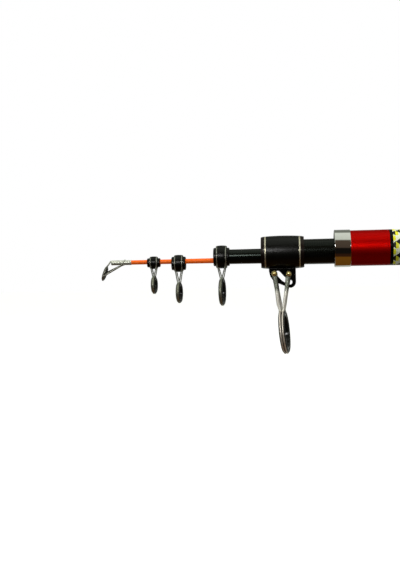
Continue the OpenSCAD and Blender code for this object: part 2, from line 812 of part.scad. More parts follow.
// A dark ring about the X axis, crowned outside and with rounded inner edges
module shock_ring(ring_d, t, w) {
    outer = ring_d / 2 - hoop_proud;
    inner = outer - w;
    crown = crown_share * w;
    edge = (1 - crown_share) * w;
    steps = 4 * arc_steps;
    turned(concat(
        [for (i = [0 : steps]) [t / 2 * cos(180 * i / steps), outer - crown + crown * sin(180 * i / steps)]],
        arc(-t / 2 + edge, inner + edge, edge, 180, 270),
        arc(t / 2 - edge, inner + edge, edge, 270, 360)
    ));
}

// The ceramic insert of radial width w inside a shock ring
module ceramic(ring_d, t, shock, w) {
    outer = ring_d / 2 - hoop_proud - shock - glue_gap;
    half = t / 2 - ceramic_step;
    turned(rounded(-half, half, outer - w, outer, 0.45 * w));
}

module large_ring() {
    color(ring_olive) on_rod() difference() {
        at_large_ring() shock_ring(large_ring_d, large_ring_t, large_shock_w);
        large_frame_solid(glue_gap);
    }
}

module large_insert() {
    color(ring_olive) on_rod() at_large_ring()
        ceramic(large_ring_d, large_ring_t, large_shock_w, large_ceramic_w);
}

// A rivet's ball head outside a leg on side s, clear of the leg's lean
module rivet_head(s) {
    head_sunk = 0.4 * rivet_head_d;
    face = eye_y + leg_t / 2 + 2 * glue_gap;
    difference() {
        translate([0, s * (face + rivet_head_d / 2 - head_sunk), 0]) sphere(d = rivet_head_d);
        cube([2 * rivet_head_d, 2 * face, 2 * rivet_head_d], center = true);
    }
}

module pivot_rivet() {
    color(brass_yellow) on_rod() translate([pivot_x, 0, -pivot_drop]) union() {
        rotate([90, 0, 0]) cylinder(h = 2 * eye_y + leg_t + 0.5 * rivet_head_d, d = rivet_d, center = true);
        for (s = [-1, 1]) rivet_head(s);
    }
}

module snap_rivets() {
    color(brass_yellow) on_rod() translate([snap_x, 0, -snap_drop]) for (s = [-1, 1]) union() {
        translate([0, s * (eye_y + rivet_head_d / 8), 0]) rotate([90, 0, 0])
            cylinder(h = leg_t + rivet_head_d / 4, d = rivet_d, center = true);
        rivet_head(s);
    }
}

// Section 3, the tip and the small guides

module section_3_tube() {
    color(carbon_black) on_rod(section_3_z)
        sleeve_between(-section_3_reach, stow_depth,
            section_3_bore(-section_3_reach), section_3_bore(stow_depth),
            section_3_r(-section_3_reach), section_3_r(stow_depth));
}

// Places children at the centre of a small guide's ring, with the ring's axis along their X axis
module at_small_ring(g) {
    translate([g_ring_x(g), 0, -g_drop(g)]) rotate([0, 0, -ring_turn]) children();
}

// Point of a small guide's wire i on side s, where a leg joins its ring's hoop
function small_join(g, i, s) =
    let (
        r = (g_ring_d(g) - wire_d) / 2,
        x = hoop_x(i, wire_d),
        y = s * r * sin(small_join_angle)
    ) [
        g_ring_x(g) + x * cos(ring_turn) + y * sin(ring_turn),
        y * cos(ring_turn) - x * sin(ring_turn),
        -g_drop(g) + r * cos(small_join_angle)
    ];

// Radius of a small sleeve's crowned barrel at a share of the barrel's length
function barrel_r(g, share) = g_sleeve_r(g) - barrel_crown * (1 - sin(180 * share) ^ 0.5);

// Radius of a wire's loop round its sleeve
function loop_r(g) =
    let (barrel_len = 2 * (g_ring_x(g) - g_wire_x(g, 0) + loop_back - shoulder_len))
        barrel_r(g, (loop_back - shoulder_len) / barrel_len) - wire_d / 2 + loop_proud;

// Point of wire i on side s, where a leg leaves its loop
function small_foot(g, i, s) =
    let (y = s * min(abs(small_join(g, i, s)[1]), foot_share * loop_r(g)))
        [g_wire_x(g, i), y, -sqrt(loop_r(g) ^ 2 - y ^ 2)];

// A small guide's wires round its sleeve and its ring, or with grow the room that they need
module small_frame(g, grow = 0) {
    r = wire_d / 2 + grow;
    for (i = [0, 1]) {
        translate([g_wire_x(g, i), 0, 0]) hoop(loop_r(g), r);
        at_small_ring(g) translate([hoop_x(i, wire_d), 0, 0]) hoop((g_ring_d(g) - wire_d) / 2, r);
        for (s = [-1, 1]) {
            for (p = [small_foot(g, i, s), small_join(g, i, s)])
                translate(p) sphere(r = joint_share * wire_d + grow);
            wire(small_foot(g, i, s), small_join(g, i, s), r);
        }
    }
}

// A stepped sleeve with grooves for its frame's loops
module small_sleeve(g, x0, len, shoulder_d, bore0, bore1) {
    x1 = x0 + len;
    shoulder_r = shoulder_d / 2;
    step0 = x0 + shoulder_len;
    step1 = x1 - shoulder_len;
    edge = 0.35 * shoulder_len;
    steps = 2 * arc_steps;
    difference() {
        turned(concat(
            [[x1, bore1], [x0, bore0]],
            arc(x0 + edge, shoulder_r - edge, edge, 180, 90),
            [[step0, shoulder_r]],
            [for (i = [0 : steps]) [step0 + (step1 - step0) * i / steps, barrel_r(g, i / steps)]],
            [[step1, shoulder_r]],
            arc(x1 - edge, shoulder_r - edge, edge, 90, 0)
        ));
        small_frame(g, glue_gap);
    }
}

module small_ring(g) {
    difference() {
        at_small_ring(g) shock_ring(g_ring_d(g), ring_t, shock_w);
        small_frame(g, glue_gap);
    }
}

module small_insert(g) {
    at_small_ring(g) ceramic(g_ring_d(g), ring_t, shock_w, ceramic_w);
}

module guide_3_sleeve() {
    x0 = -section_3_reach;
    color(moulded_black) on_rod(section_3_z) small_sleeve(guide_3, x0, guide_3_len, guide_3_shoulder_d,
        section_3_r(x0) + glue_gap, section_3_r(x0 + guide_3_len) + glue_gap);
}

module guide_3_frame() {
    color(chrome_grey) on_rod(section_3_z) small_frame(guide_3);
}

module guide_3_ring() {
    color(ring_olive) on_rod(section_3_z) small_ring(guide_3);
}

module guide_3_insert() {
    color(ring_olive) on_rod(section_3_z) small_insert(guide_3);
}

module tip_rod() {
    front = -tip_reach;
    step = front + tip_tube_len;
    color(tip_orange) on_rod(tip_z) turned([
        [front + tip_nose, 0], [front + tip_nose, tip_spigot_d / 2], [step, tip_spigot_d / 2],
        [step, tip_r(step)], [stow_depth, tip_r(stow_depth)], [stow_depth, 0]
    ]);
}

// Places children at the centre of the tip ring
module at_tip_ring() {
    rotate([tip_ring_roll, 0, 0]) translate([-tip_reach - tip_ring_ahead, 0, -tip_ring_drop])
        rotate([0, tip_ring_lean, -tip_ring_turn]) children();
}

// Point of the tip hoop at an angle from its top toward side s
function tip_join(s, angle) =
    let (
        r = (tip_ring_d - tip_wire_d) / 2,
        side = s * r * sin(angle),
        x = r * cos(angle) * sin(tip_ring_lean),
        y = side * cos(tip_ring_turn) - x * sin(tip_ring_turn),
        z = r * cos(angle) * cos(tip_ring_lean) - tip_ring_drop
    ) [
        x * cos(tip_ring_turn) + side * sin(tip_ring_turn) - tip_reach - tip_ring_ahead,
        y * cos(tip_ring_roll) - z * sin(tip_ring_roll),
        y * sin(tip_ring_roll) + z * cos(tip_ring_roll)
    ];

// The tip top's wires: a hoop, a bent front arm and two braces to the collar
module tip_wires(grow = 0) {
    r = tip_wire_d / 2;
    arm_z = tip_tube_d / 2 - r;
    arm_root = [-tip_reach + tip_nose, 0, arm_z];
    arm_knee = [-tip_reach - r / 2, 0, arm_z];
    brace_x = -tip_reach + collar_back + collar_len / 2;
    at_tip_ring() hoop((tip_ring_d - tip_wire_d) / 2, r + grow);
    translate(tip_join(0, 0)) sphere(r = joint_share * tip_wire_d + grow);
    wire(arm_root, arm_knee, r + grow);
    translate(arm_knee) sphere(r = r + grow);
    wire(arm_knee, tip_join(0, 0), r + grow);
    for (s = [-1, 1]) {
        translate(tip_join(s, brace_angle)) sphere(r = joint_share * tip_wire_d + grow);
        wire([brace_x, s * r, -tip_tube_d / 2], tip_join(s, brace_angle), r + grow);
    }
}

module tip_top() {
    front = -tip_reach;
    back = front + tip_tube_len;
    outer = tip_tube_d / 2;
    collar_proud = 0.2;
    nose = 0.5;
    color(chrome_grey) on_rod(tip_z) difference() {
        union() {
            turned(concat(
                [[back, 0], [back, outer]], arc(front + nose, outer - nose, nose, 90, 180), [[front, 0]]));
            bar(front + collar_back, front + collar_back + collar_len, outer + collar_proud);
            tip_wires();
        }
        bar(front + tip_nose - glue_gap, back + 1, tip_spigot_d / 2 + glue_gap);
    }
}

module tip_ring() {
    color(ring_olive) on_rod(tip_z) difference() {
        at_tip_ring() shock_ring(tip_ring_d, tip_ring_t, shock_w);
        tip_wires(glue_gap);
    }
}

module tip_insert() {
    color(ring_olive) on_rod(tip_z) at_tip_ring() ceramic(tip_ring_d, tip_ring_t, shock_w, ceramic_w);
}

module guide_1_sleeve() {
    color(moulded_black) on_rod(guide_1_z) small_sleeve(guide_1, -guide_1_reach, guide_1_len,
        guide_1_shoulder_d, guide_1_bore, guide_1_bore + tip_slope * guide_1_len);
}

module guide_1_frame() {
    color(chrome_grey) on_rod(guide_1_z) small_frame(guide_1);
}

module guide_1_ring() {
    color(ring_olive) on_rod(guide_1_z) small_ring(guide_1);
}

module guide_1_insert() {
    color(ring_olive) on_rod(guide_1_z) small_insert(guide_1);
}

module guide_2_sleeve() {
    color(moulded_black) on_rod(guide_2_z) small_sleeve(guide_2, -guide_2_reach, guide_2_len,
        guide_2_shoulder_d, guide_2_bore, guide_2_bore + tip_slope * guide_2_len);
}

module guide_2_frame() {
    color(chrome_grey) on_rod(guide_2_z) small_frame(guide_2);
}

module guide_2_ring() {
    color(ring_olive) on_rod(guide_2_z) small_ring(guide_2);
}

module guide_2_insert() {
    color(ring_olive) on_rod(guide_2_z) small_insert(guide_2);
}

handle_tube();
mouth_ferrule();
diamond_wrap();
wrap_bands();
front_check();
foregrip();
seat_arbors();
reel_seat();
fixed_hood();
rear_check();
rear_grip();
butt_insert();
sliding_hood();
lock_nut();
cap_seal();
butt_cap();
butt_pad();
section_cushion();
section_2_tube();
large_sleeve();
large_sleeve_bands();
large_frame();
large_ring();
large_insert();
pivot_rivet();
snap_rivets();
section_3_tube();
guide_3_sleeve();
guide_3_frame();
guide_3_ring();
guide_3_insert();
tip_rod();
tip_top();
tip_ring();
tip_insert();
guide_1_sleeve();
guide_1_frame();
guide_1_ring();
guide_1_insert();
guide_2_sleeve();
guide_2_frame();
guide_2_ring();
guide_2_insert();
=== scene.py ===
"""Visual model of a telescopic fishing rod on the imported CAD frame."""
import math

import bpy
from mathutils import Matrix, Vector

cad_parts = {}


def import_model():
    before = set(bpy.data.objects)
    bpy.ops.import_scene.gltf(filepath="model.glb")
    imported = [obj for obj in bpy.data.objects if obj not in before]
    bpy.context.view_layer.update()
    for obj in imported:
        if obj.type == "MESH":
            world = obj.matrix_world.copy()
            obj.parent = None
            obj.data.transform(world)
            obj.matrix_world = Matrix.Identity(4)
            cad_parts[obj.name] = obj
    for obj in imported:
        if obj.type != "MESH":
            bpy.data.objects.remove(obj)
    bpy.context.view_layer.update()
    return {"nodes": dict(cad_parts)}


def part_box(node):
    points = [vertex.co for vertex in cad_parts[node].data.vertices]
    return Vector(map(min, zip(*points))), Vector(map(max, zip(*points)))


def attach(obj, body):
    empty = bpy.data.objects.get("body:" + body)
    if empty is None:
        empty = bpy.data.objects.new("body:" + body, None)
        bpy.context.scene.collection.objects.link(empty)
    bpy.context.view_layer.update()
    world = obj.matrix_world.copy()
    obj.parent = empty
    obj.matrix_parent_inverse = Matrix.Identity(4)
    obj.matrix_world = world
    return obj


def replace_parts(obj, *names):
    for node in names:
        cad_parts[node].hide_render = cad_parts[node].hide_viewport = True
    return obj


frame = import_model()
NODES = frame["nodes"]

MM = 0.001
# Stations are millimetres back from the handle's mouth; the frame's origin is the rear grip's middle
GRIP_MIDDLE = 376.0
# Station where the first row of the wrap's pattern begins, under its front band
PATTERN_FRONT = 29.9
# Heights of the axes of the sections and sliding guides below the handle's axis, millimetres
SECTION_2_Z = -1.377
SECTION_3_Z = -3.194
TIP_Z = -5.130
GUIDE_1_Z = -5.538
GUIDE_2_Z = -6.228


def at(x, y, z):
    """A point given in millimetres from the mouth, in the frame."""
    return Vector(((x - GRIP_MIDDLE) * MM, y * MM, z * MM))


# Meshes

def mesh_object(name, verts, faces, material, body):
    """A new piece from its points and faces that rides on a body."""
    mesh = bpy.data.meshes.new(name)
    mesh.from_pydata(verts, [], faces)
    mesh.validate()
    mesh.polygons.foreach_set("use_smooth", [True] * len(mesh.polygons))
    obj = bpy.data.objects.new(name, mesh)
    bpy.context.scene.collection.objects.link(obj)
    mesh.materials.append(material)
    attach(obj, body)
    return obj


def lathe(profile, axis_z, segments, start=0):
    """Points and faces of a closed profile of (x, radius) in millimetres, turned about a line along X."""
    verts, faces = [], []
    count = len(profile)
    for k in range(segments):
        a = 2 * math.pi * k / segments
        for x, r in profile:
            verts.append(at(x, r * math.sin(a), axis_z + r * math.cos(a)))
    for k in range(segments):
        for i in range(count):
            j = (i + 1) % count
            n = (k + 1) % segments
            faces.append([start + k * count + i, start + k * count + j,
                          start + n * count + j, start + n * count + i])
    return verts, faces


def rounded_profile(corners, steps=8):
    """A closed profile with each corner (x, radius, fillet) rounded by its fillet."""
    points = []
    count = len(corners)
    for i, (x, r, fillet) in enumerate(corners):
        here = Vector((x, r))
        back = Vector(corners[i - 1][:2]) - here
        ahead = Vector(corners[(i + 1) % count][:2]) - here
        if fillet <= 0:
            points.append((x, r))
            continue
        half = back.angle(ahead) / 2
        reach = min(fillet / math.tan(half), 0.49 * back.length, 0.49 * ahead.length)
        a, b = here + back.normalized() * reach, here + ahead.normalized() * reach
        for k in range(steps + 1):
            t = k / steps
            p = (1 - t) ** 2 * a + 2 * t * (1 - t) * here + t ** 2 * b
            points.append((p.x, p.y))
    return points


def smooth_path(points, per_span):
    """A Catmull-Rom curve through points, with so many steps from each point to the next."""
    run = [2 * points[0] - points[1], *points, 2 * points[-1] - points[-2]]
    path = []
    for p0, p1, p2, p3 in zip(run, run[1:], run[2:], run[3:]):
        for k in range(per_span):
            t = k / per_span
            path.append(0.5 * (2 * p1 + (p2 - p0) * t + (2 * p0 - 5 * p1 + 4 * p2 - p3) * t ** 2
                               + (3 * p1 - p0 - 3 * p2 + p3) * t ** 3))
    path.append(points[-1].copy())
    return path


class Wires:
    """Swept wires collected into one mesh."""

    def __init__(self):
        self.verts, self.faces = [], []

    def sweep(self, path, widths, thin, closed=False, segments=14):
        """A tube along path. widths gives (width, thickness) in metres, as a list where it differs from
        point to point, and thin the direction in which the thickness is measured."""
        count = len(path)
        start = len(self.verts)
        for i, p in enumerate(path):
            before = path[i - 1] if closed or i else p
            after = path[(i + 1) % count] if closed or i < count - 1 else p
            along = (after - before).normalized()
            flat = (thin - thin.dot(along) * along).normalized()
            wide = along.cross(flat)
            w, t = widths[i] if isinstance(widths, list) else widths
            for k in range(segments):
                a = 2 * math.pi * k / segments
                self.verts.append(p + wide * (w / 2 * math.cos(a)) + flat * (t / 2 * math.sin(a)))
        for i in range(count if closed else count - 1):
            n = (i + 1) % count
            for k in range(segments):
                m = (k + 1) % segments
                self.faces.append([start + i * segments + k, start + i * segments + m,
                                   start + n * segments + m, start + n * segments + k])
        if not closed:
            self.faces.append([start + k for k in reversed(range(segments))])
            last = start + (count - 1) * segments
            self.faces.append([last + k for k in range(segments)])

    def ball(self, centre, radii, rings=10, segments=16):
        """A brazed blob."""
        start = len(self.verts)
        self.verts.append(centre + Vector((0, 0, radii[2])))
        for i in range(1, rings):
            b = math.pi * i / rings
            for k in range(segments):
                a = 2 * math.pi * k / segments
                self.verts.append(centre + Vector((radii[0] * math.sin(b) * math.cos(a),
                                                   radii[1] * math.sin(b) * math.sin(a),
                                                   radii[2] * math.cos(b))))
        self.verts.append(centre - Vector((0, 0, radii[2])))
        last = len(self.verts) - 1
        for k in range(segments):
            m = (k + 1) % segments
            self.faces.append([start, start + 1 + k, start + 1 + m])
            for i in range(rings - 2):
                a = start + 1 + i * segments
                self.faces.append([a + k, a + segments + k, a + segments + m, a + m])
            a = start + 1 + (rings - 2) * segments
            self.faces.append([a + k, last, a + m])

    def turned(self, profile, axis_z, segments=64):
        """A turned piece among the wires."""
        verts, faces = lathe(profile, axis_z, segments, len(self.verts))
        self.verts += verts
        self.faces += faces

    def piece(self, name, material, body):
        return mesh_object(name, self.verts, self.faces, material, body)


# Materials

class Look:
    """A node material under construction, with object coordinates in millimetres."""

    def __init__(self, name):
        self.material = bpy.data.materials.new(name)
        self.material.use_nodes = True
        self.nodes = self.material.node_tree.nodes
        self.links = self.material.node_tree.links
        self.bsdf = next(n for n in self.nodes if n.type == "BSDF_PRINCIPLED")
        scale = self.nodes.new("ShaderNodeVectorMath")
        scale.operation = "SCALE"
        scale.inputs["Scale"].default_value = 1 / MM
        self.links.new(self.nodes.new("ShaderNodeTexCoord").outputs["Object"], scale.inputs[0])
        self.place = scale.outputs[0]

    def plug(self, socket, value):
        if isinstance(value, bpy.types.NodeSocket):
            self.links.new(value, socket)
        else:
            socket.default_value = value

    def set(self, **values):
        for name, value in values.items():
            self.plug(self.bsdf.inputs[name.replace("_", " ")], value)

    def math(self, operation, a, b=0.0):
        n = self.nodes.new("ShaderNodeMath")
        n.operation = operation
        for socket, value in zip(n.inputs, (a, b)):
            self.plug(socket, value)
        return n.outputs[0]

    def vector(self, operation, a, b=(0, 0, 0)):
        n = self.nodes.new("ShaderNodeVectorMath")
        n.operation = operation
        self.plug(n.inputs[0], a)
        self.plug(n.inputs[1], b)
        return n.outputs["Value" if operation == "DOT_PRODUCT" else "Vector"]

    def split(self, vector):
        n = self.nodes.new("ShaderNodeSeparateXYZ")
        self.plug(n.inputs[0], vector)
        return n.outputs

    def join(self, x, y, z):
        n = self.nodes.new("ShaderNodeCombineXYZ")
        for socket, value in zip(n.inputs, (x, y, z)):
            self.plug(socket, value)
        return n.outputs[0]

    def round_axis(self, axis_z):
        """(millimetres along X, turns round the axis, distance from it)."""
        x, y, z = self.split(self.place)
        z = self.math("SUBTRACT", z, axis_z)
        turn = self.math("DIVIDE", self.math("ARCTAN2", y, z), 2 * math.pi)
        squares = self.math("ADD", self.math("MULTIPLY", y, y), self.math("MULTIPLY", z, z))
        return x, turn, self.math("SQRT", squares)

    def zigzag(self, value):
        """A wave that falls from 1 to 0 and rises again over each unit of value."""
        saw = self.math("SUBTRACT", self.math("MULTIPLY", self.math("FRACT", value), 2.0), 1.0)
        return self.math("ABSOLUTE", saw)

    def noise(self, vector, scale, detail=4.0, roughness=0.55):
        n = self.nodes.new("ShaderNodeTexNoise")
        self.plug(n.inputs["Vector"], vector)
        n.inputs["Scale"].default_value = scale
        n.inputs["Detail"].default_value = detail
        n.inputs["Roughness"].default_value = roughness
        return n.outputs[0]

    def cells(self, vector, scale, output="Distance"):
        n = self.nodes.new("ShaderNodeTexVoronoi")
        self.plug(n.inputs["Vector"], vector)
        n.inputs["Scale"].default_value = scale
        return n.outputs[output]

    def fit(self, value, low, high, to_low=0.0, to_high=1.0, smooth=False):
        n = self.nodes.new("ShaderNodeMapRange")
        n.interpolation_type = "SMOOTHSTEP" if smooth else "LINEAR"
        for socket, v in zip(n.inputs, (value, low, high, to_low, to_high)):
            self.plug(socket, v)
        return n.outputs[0]

    def mix(self, factor, a, b):
        n = self.nodes.new("ShaderNodeMix")
        n.data_type = "RGBA"
        sockets = [s for s in n.inputs if s.type == "RGBA"]
        self.plug(n.inputs[0], factor)
        self.plug(sockets[0], a if isinstance(a, bpy.types.NodeSocket) else (*a, 1))
        self.plug(sockets[1], b if isinstance(b, bpy.types.NodeSocket) else (*b, 1))
        return next(s for s in n.outputs if s.type == "RGBA")

    def soft_edges(self, radius):
        """(normal with edges rounded by radius in millimetres, how near an edge is)."""
        n = self.nodes.new("ShaderNodeBevel")
        n.samples = 4
        n.inputs["Radius"].default_value = radius * MM
        facing = self.nodes.new("ShaderNodeNewGeometry").outputs["Normal"]
        edge = self.math("SUBTRACT", 1.0, self.vector("DOT_PRODUCT", n.outputs[0], facing))
        return n.outputs[0], self.fit(edge, 0.02, 0.25)

    def round_normal(self, axis_z):
        """Normal of a true cylinder round an axis along X, or the surface's own where it isn't one."""
        y, z = self.split(self.place)[1:]
        turned = self.nodes.new("ShaderNodeVectorTransform")
        turned.vector_type = "NORMAL"
        turned.convert_from = "OBJECT"
        turned.convert_to = "WORLD"
        self.plug(turned.inputs[0], self.join(0.0, y, self.math("SUBTRACT", z, axis_z)))
        straight = self.vector("NORMALIZE", turned.outputs[0])
        own = self.nodes.new("ShaderNodeNewGeometry").outputs["Normal"]
        near = self.fit(self.vector("DOT_PRODUCT", straight, own), 0.93, 0.98)
        n = self.nodes.new("ShaderNodeMix")
        n.data_type = "VECTOR"
        # The last two take the vectors, and one before them a factor for each direction
        sockets = [s for s in n.inputs if s.type == "VECTOR"]
        self.plug(n.inputs[0], near)
        self.plug(sockets[-2], own)
        self.plug(sockets[-1], straight)
        return self.vector("NORMALIZE", next(s for s in n.outputs if s.type == "VECTOR"))

    def bump(self, height, depth, normal=None):
        """Normal of a height from 0 to 1 that stands depth millimetres high."""
        n = self.nodes.new("ShaderNodeBump")
        n.inputs["Distance"].default_value = depth * MM
        self.plug(n.inputs["Height"], height)
        if normal is not None:
            self.plug(n.inputs["Normal"], normal)
        return n.outputs[0]


def stretched(look, times):
    """Coordinates squeezed along X, for streaks so many times as long as they are wide."""
    return look.vector("MULTIPLY", look.place, (1 / times, 1, 1))


def red_lacquer():
    """Candy red: a metallic base with fine flakes under clear lacquer."""
    k = Look("candy_red_lacquer")
    flakes = k.cells(k.place, 9.0, "Color")
    tone = k.noise(stretched(k, 12), 0.5)
    flake = k.fit(k.split(flakes)[0], 0.3, 1.0, 0.0, 0.55)
    base = k.mix(flake, (0.49, 0.0016, 0.0008), (0.62, 0.0040, 0.0014))
    base = k.mix(k.fit(tone, 0.3, 0.7, 0.0, 0.35), base, (0.41, 0.0010, 0.0008))
    normal = k.round_normal(0.0)
    k.set(Base_Color=base, Metallic=0.68, Roughness=k.fit(tone, 0.3, 0.7, 0.33, 0.38),
          Specular_IOR_Level=0.03, Specular_Tint=(0.30, 0.004, 0.002, 1.0),
          Coat_Weight=0.2, Coat_IOR=1.2,
          Coat_Roughness=k.fit(k.noise(k.place, 0.35), 0.35, 0.75, 0.02, 0.04),
          Normal=k.bump(k.split(flakes)[1], 0.001, normal), Coat_Normal=normal)
    return k.material


def plated(name, colour, shade, roughness, streak, metallic=1.0, edge_radius=0.12, wear=1.1,
           zones=(), blend=0.4):
    """Plated or polished metal with turning marks, smudges and rubbed edges. zones lists parts of another
    tone as (lowest height, greatest height, colour, metallic), which blend over a height either way."""
    k = Look(name)
    x, turn, radius = k.round_axis(0.0)
    marks = k.noise(k.join(k.math("MULTIPLY", x, 6.0), k.math("MULTIPLY", turn, 1.5), radius), 2.0, 3)
    smudge = k.noise(k.place, 0.45, 5)
    colour_out = k.mix(k.fit(smudge, 0.35, 0.75, 0.0, min(0.5, 0.5 * wear)), colour, shade)
    if edge_radius:
        normal, edge = k.soft_edges(edge_radius)
        bright = tuple(min(1, 1.12 * c) for c in colour)
        colour_out = k.mix(k.math("MULTIPLY", edge, 0.35), colour_out, bright)
        k.set(Normal=k.bump(marks, 0.0006, normal))
    height = k.split(k.place)[2]
    for low, high, tone, mirror in zones:
        inside = k.math("MULTIPLY", k.fit(height, low - blend, low + blend),
                        k.fit(height, high + blend, high - blend))
        colour_out = k.mix(inside, colour_out, tone)
        metallic = k.math("ADD", k.math("MULTIPLY", inside, mirror),
                          k.math("MULTIPLY", k.math("SUBTRACT", 1.0, inside), metallic))
    k.set(Base_Color=colour_out, Metallic=metallic,
          Roughness=k.math("ADD", k.fit(smudge, 0.3, 0.8, roughness, roughness * (1 + wear)),
                           k.fit(marks, 0.4, 0.7, 0.0, streak)))
    return k.material


def guide_wire(name, zones, blend=0.4):
    """Drawn steel wire, with parts of other tones."""
    return plated(name, (0.32, 0.35, 0.28), (0.26, 0.28, 0.22), 0.36, 0.04, 0.75, edge_radius=0, wear=0.3,
                  zones=zones, blend=blend)


def carbon(name, axis_z, pitch, shine):
    """Dark lacquered blank with the fine ridges that its wrapping tape leaves."""
    k = Look(name)
    x, turn = k.round_axis(axis_z)[:2]
    valley = k.zigzag(k.math("ADD", k.math("DIVIDE", x, pitch), turn))
    ridge = k.math("POWER", k.math("SUBTRACT", 1.0, valley), 0.6)
    grain = k.noise(stretched(k, 14), 2.2, 5)
    mottle = k.noise(k.place, 0.6, 4)
    base = k.mix(k.fit(grain, 0.35, 0.7), (0.0016, 0.0017, 0.0010), (0.0050, 0.0054, 0.0040))
    base = k.mix(k.fit(ridge, 0.0, 0.45, 0.7, 0.0), base, (0.011, 0.012, 0.009))
    bumped = k.bump(k.math("ADD", ridge, k.math("MULTIPLY", grain, 0.04)), 0.006, k.round_normal(axis_z))
    k.set(Base_Color=base, Roughness=k.fit(mottle, 0.3, 0.75, 0.15, 0.20), Specular_IOR_Level=shine,
          Specular_Tint=(0.80, 1.0, 0.88, 1.0),
          Coat_Weight=0.06, Coat_IOR=1.25, Coat_Roughness=0.14, Normal=bumped, Coat_Normal=bumped)
    return k.material


def moulded(name, base, tint, roughness, ends=None, flat_top=None):
    """Moulded black plastic with a fine skin and rubbed edges. Where these are given, its tone is warmer
    past the two ends along X, and it is smoother below the height flat_top, as from a polished mould."""
    k = Look(name)
    skin = k.noise(k.place, 3.0, 6, 0.6)
    cloud = k.noise(k.place, 0.28, 4)
    edge = k.soft_edges(0.25)[1]
    colour = k.mix(k.fit(cloud, 0.3, 0.7), base, tint)
    if ends:
        x = k.split(k.place)[0]
        low = k.fit(x, ends[0] - 0.3, ends[0] + 0.3, 1.0, 0.0)
        high = k.fit(x, ends[1] - 0.3, ends[1] + 0.3)
        colour = k.mix(k.math("MULTIPLY", k.math("ADD", low, high), 0.8), colour, (0.010, 0.0045, 0.0028))
    rubbed = k.math("MULTIPLY", edge, k.fit(cloud, 0.4, 0.65, 0.1, 0.6))
    colour = k.mix(rubbed, colour, tuple(3.5 * c + 0.006 for c in tint))
    grain = k.fit(skin, 0.3, 0.7, roughness - 0.06, roughness + 0.08)
    if flat_top:
        height = k.split(k.place)[2]
        grain = k.math("MULTIPLY", grain, k.fit(height, flat_top - 0.3, flat_top + 0.3, 0.42, 1.0))
    k.set(Base_Color=colour, Roughness=grain, Specular_IOR_Level=0.2, Normal=k.bump(skin, 0.0008))
    return k.material


def glazed(name, base, light, roughness, shine=0.25):
    """Polished dark ceramic or resin."""
    k = Look(name)
    cloud = k.noise(k.place, 0.9, 5)
    speck = k.noise(k.place, 9.0, 3)
    k.set(Base_Color=k.mix(k.fit(cloud, 0.35, 0.7), base, light),
          Roughness=k.fit(speck, 0.3, 0.75, roughness, roughness * 2.2), Specular_IOR_Level=shine,
          Coat_Weight=1.2 * shine, Coat_IOR=1.3, Coat_Roughness=roughness * 0.6,
          Normal=k.bump(cloud, 0.01, k.soft_edges(0.15)[0]))
    return k.material


def orange_paint():
    """Fluorescent orange paint over glass fibre, with faint streaks along the fibres."""
    k = Look("orange_paint")
    x, turn = k.round_axis(TIP_Z)[:2]
    streak = k.noise(k.join(k.math("MULTIPLY", x, 0.06), k.math("MULTIPLY", turn, 9.0), 0.0), 2.5, 5)
    cloud = k.noise(k.place, 0.4, 4)
    colour = k.mix(k.fit(streak, 0.3, 0.7), (0.82, 0.118, 0.008), (0.84, 0.155, 0.018))
    colour = k.mix(k.fit(cloud, 0.45, 0.8, 0.0, 0.4), colour, (0.80, 0.102, 0.007))
    # The emission is painted glow: it stands in for the brightness that the fluorescent paint shows under
    # the lamps
    k.set(Base_Color=colour, Roughness=k.fit(cloud, 0.3, 0.7, 0.34, 0.46), Specular_IOR_Level=0.08,
          Emission_Color=colour, Emission_Strength=0.25, Coat_Weight=0.08, Coat_Roughness=0.35,
          Normal=k.bump(streak, 0.003, k.round_normal(TIP_Z)),
          Subsurface_Weight=0.06, Subsurface_Scale=0.0004)
    return k.material


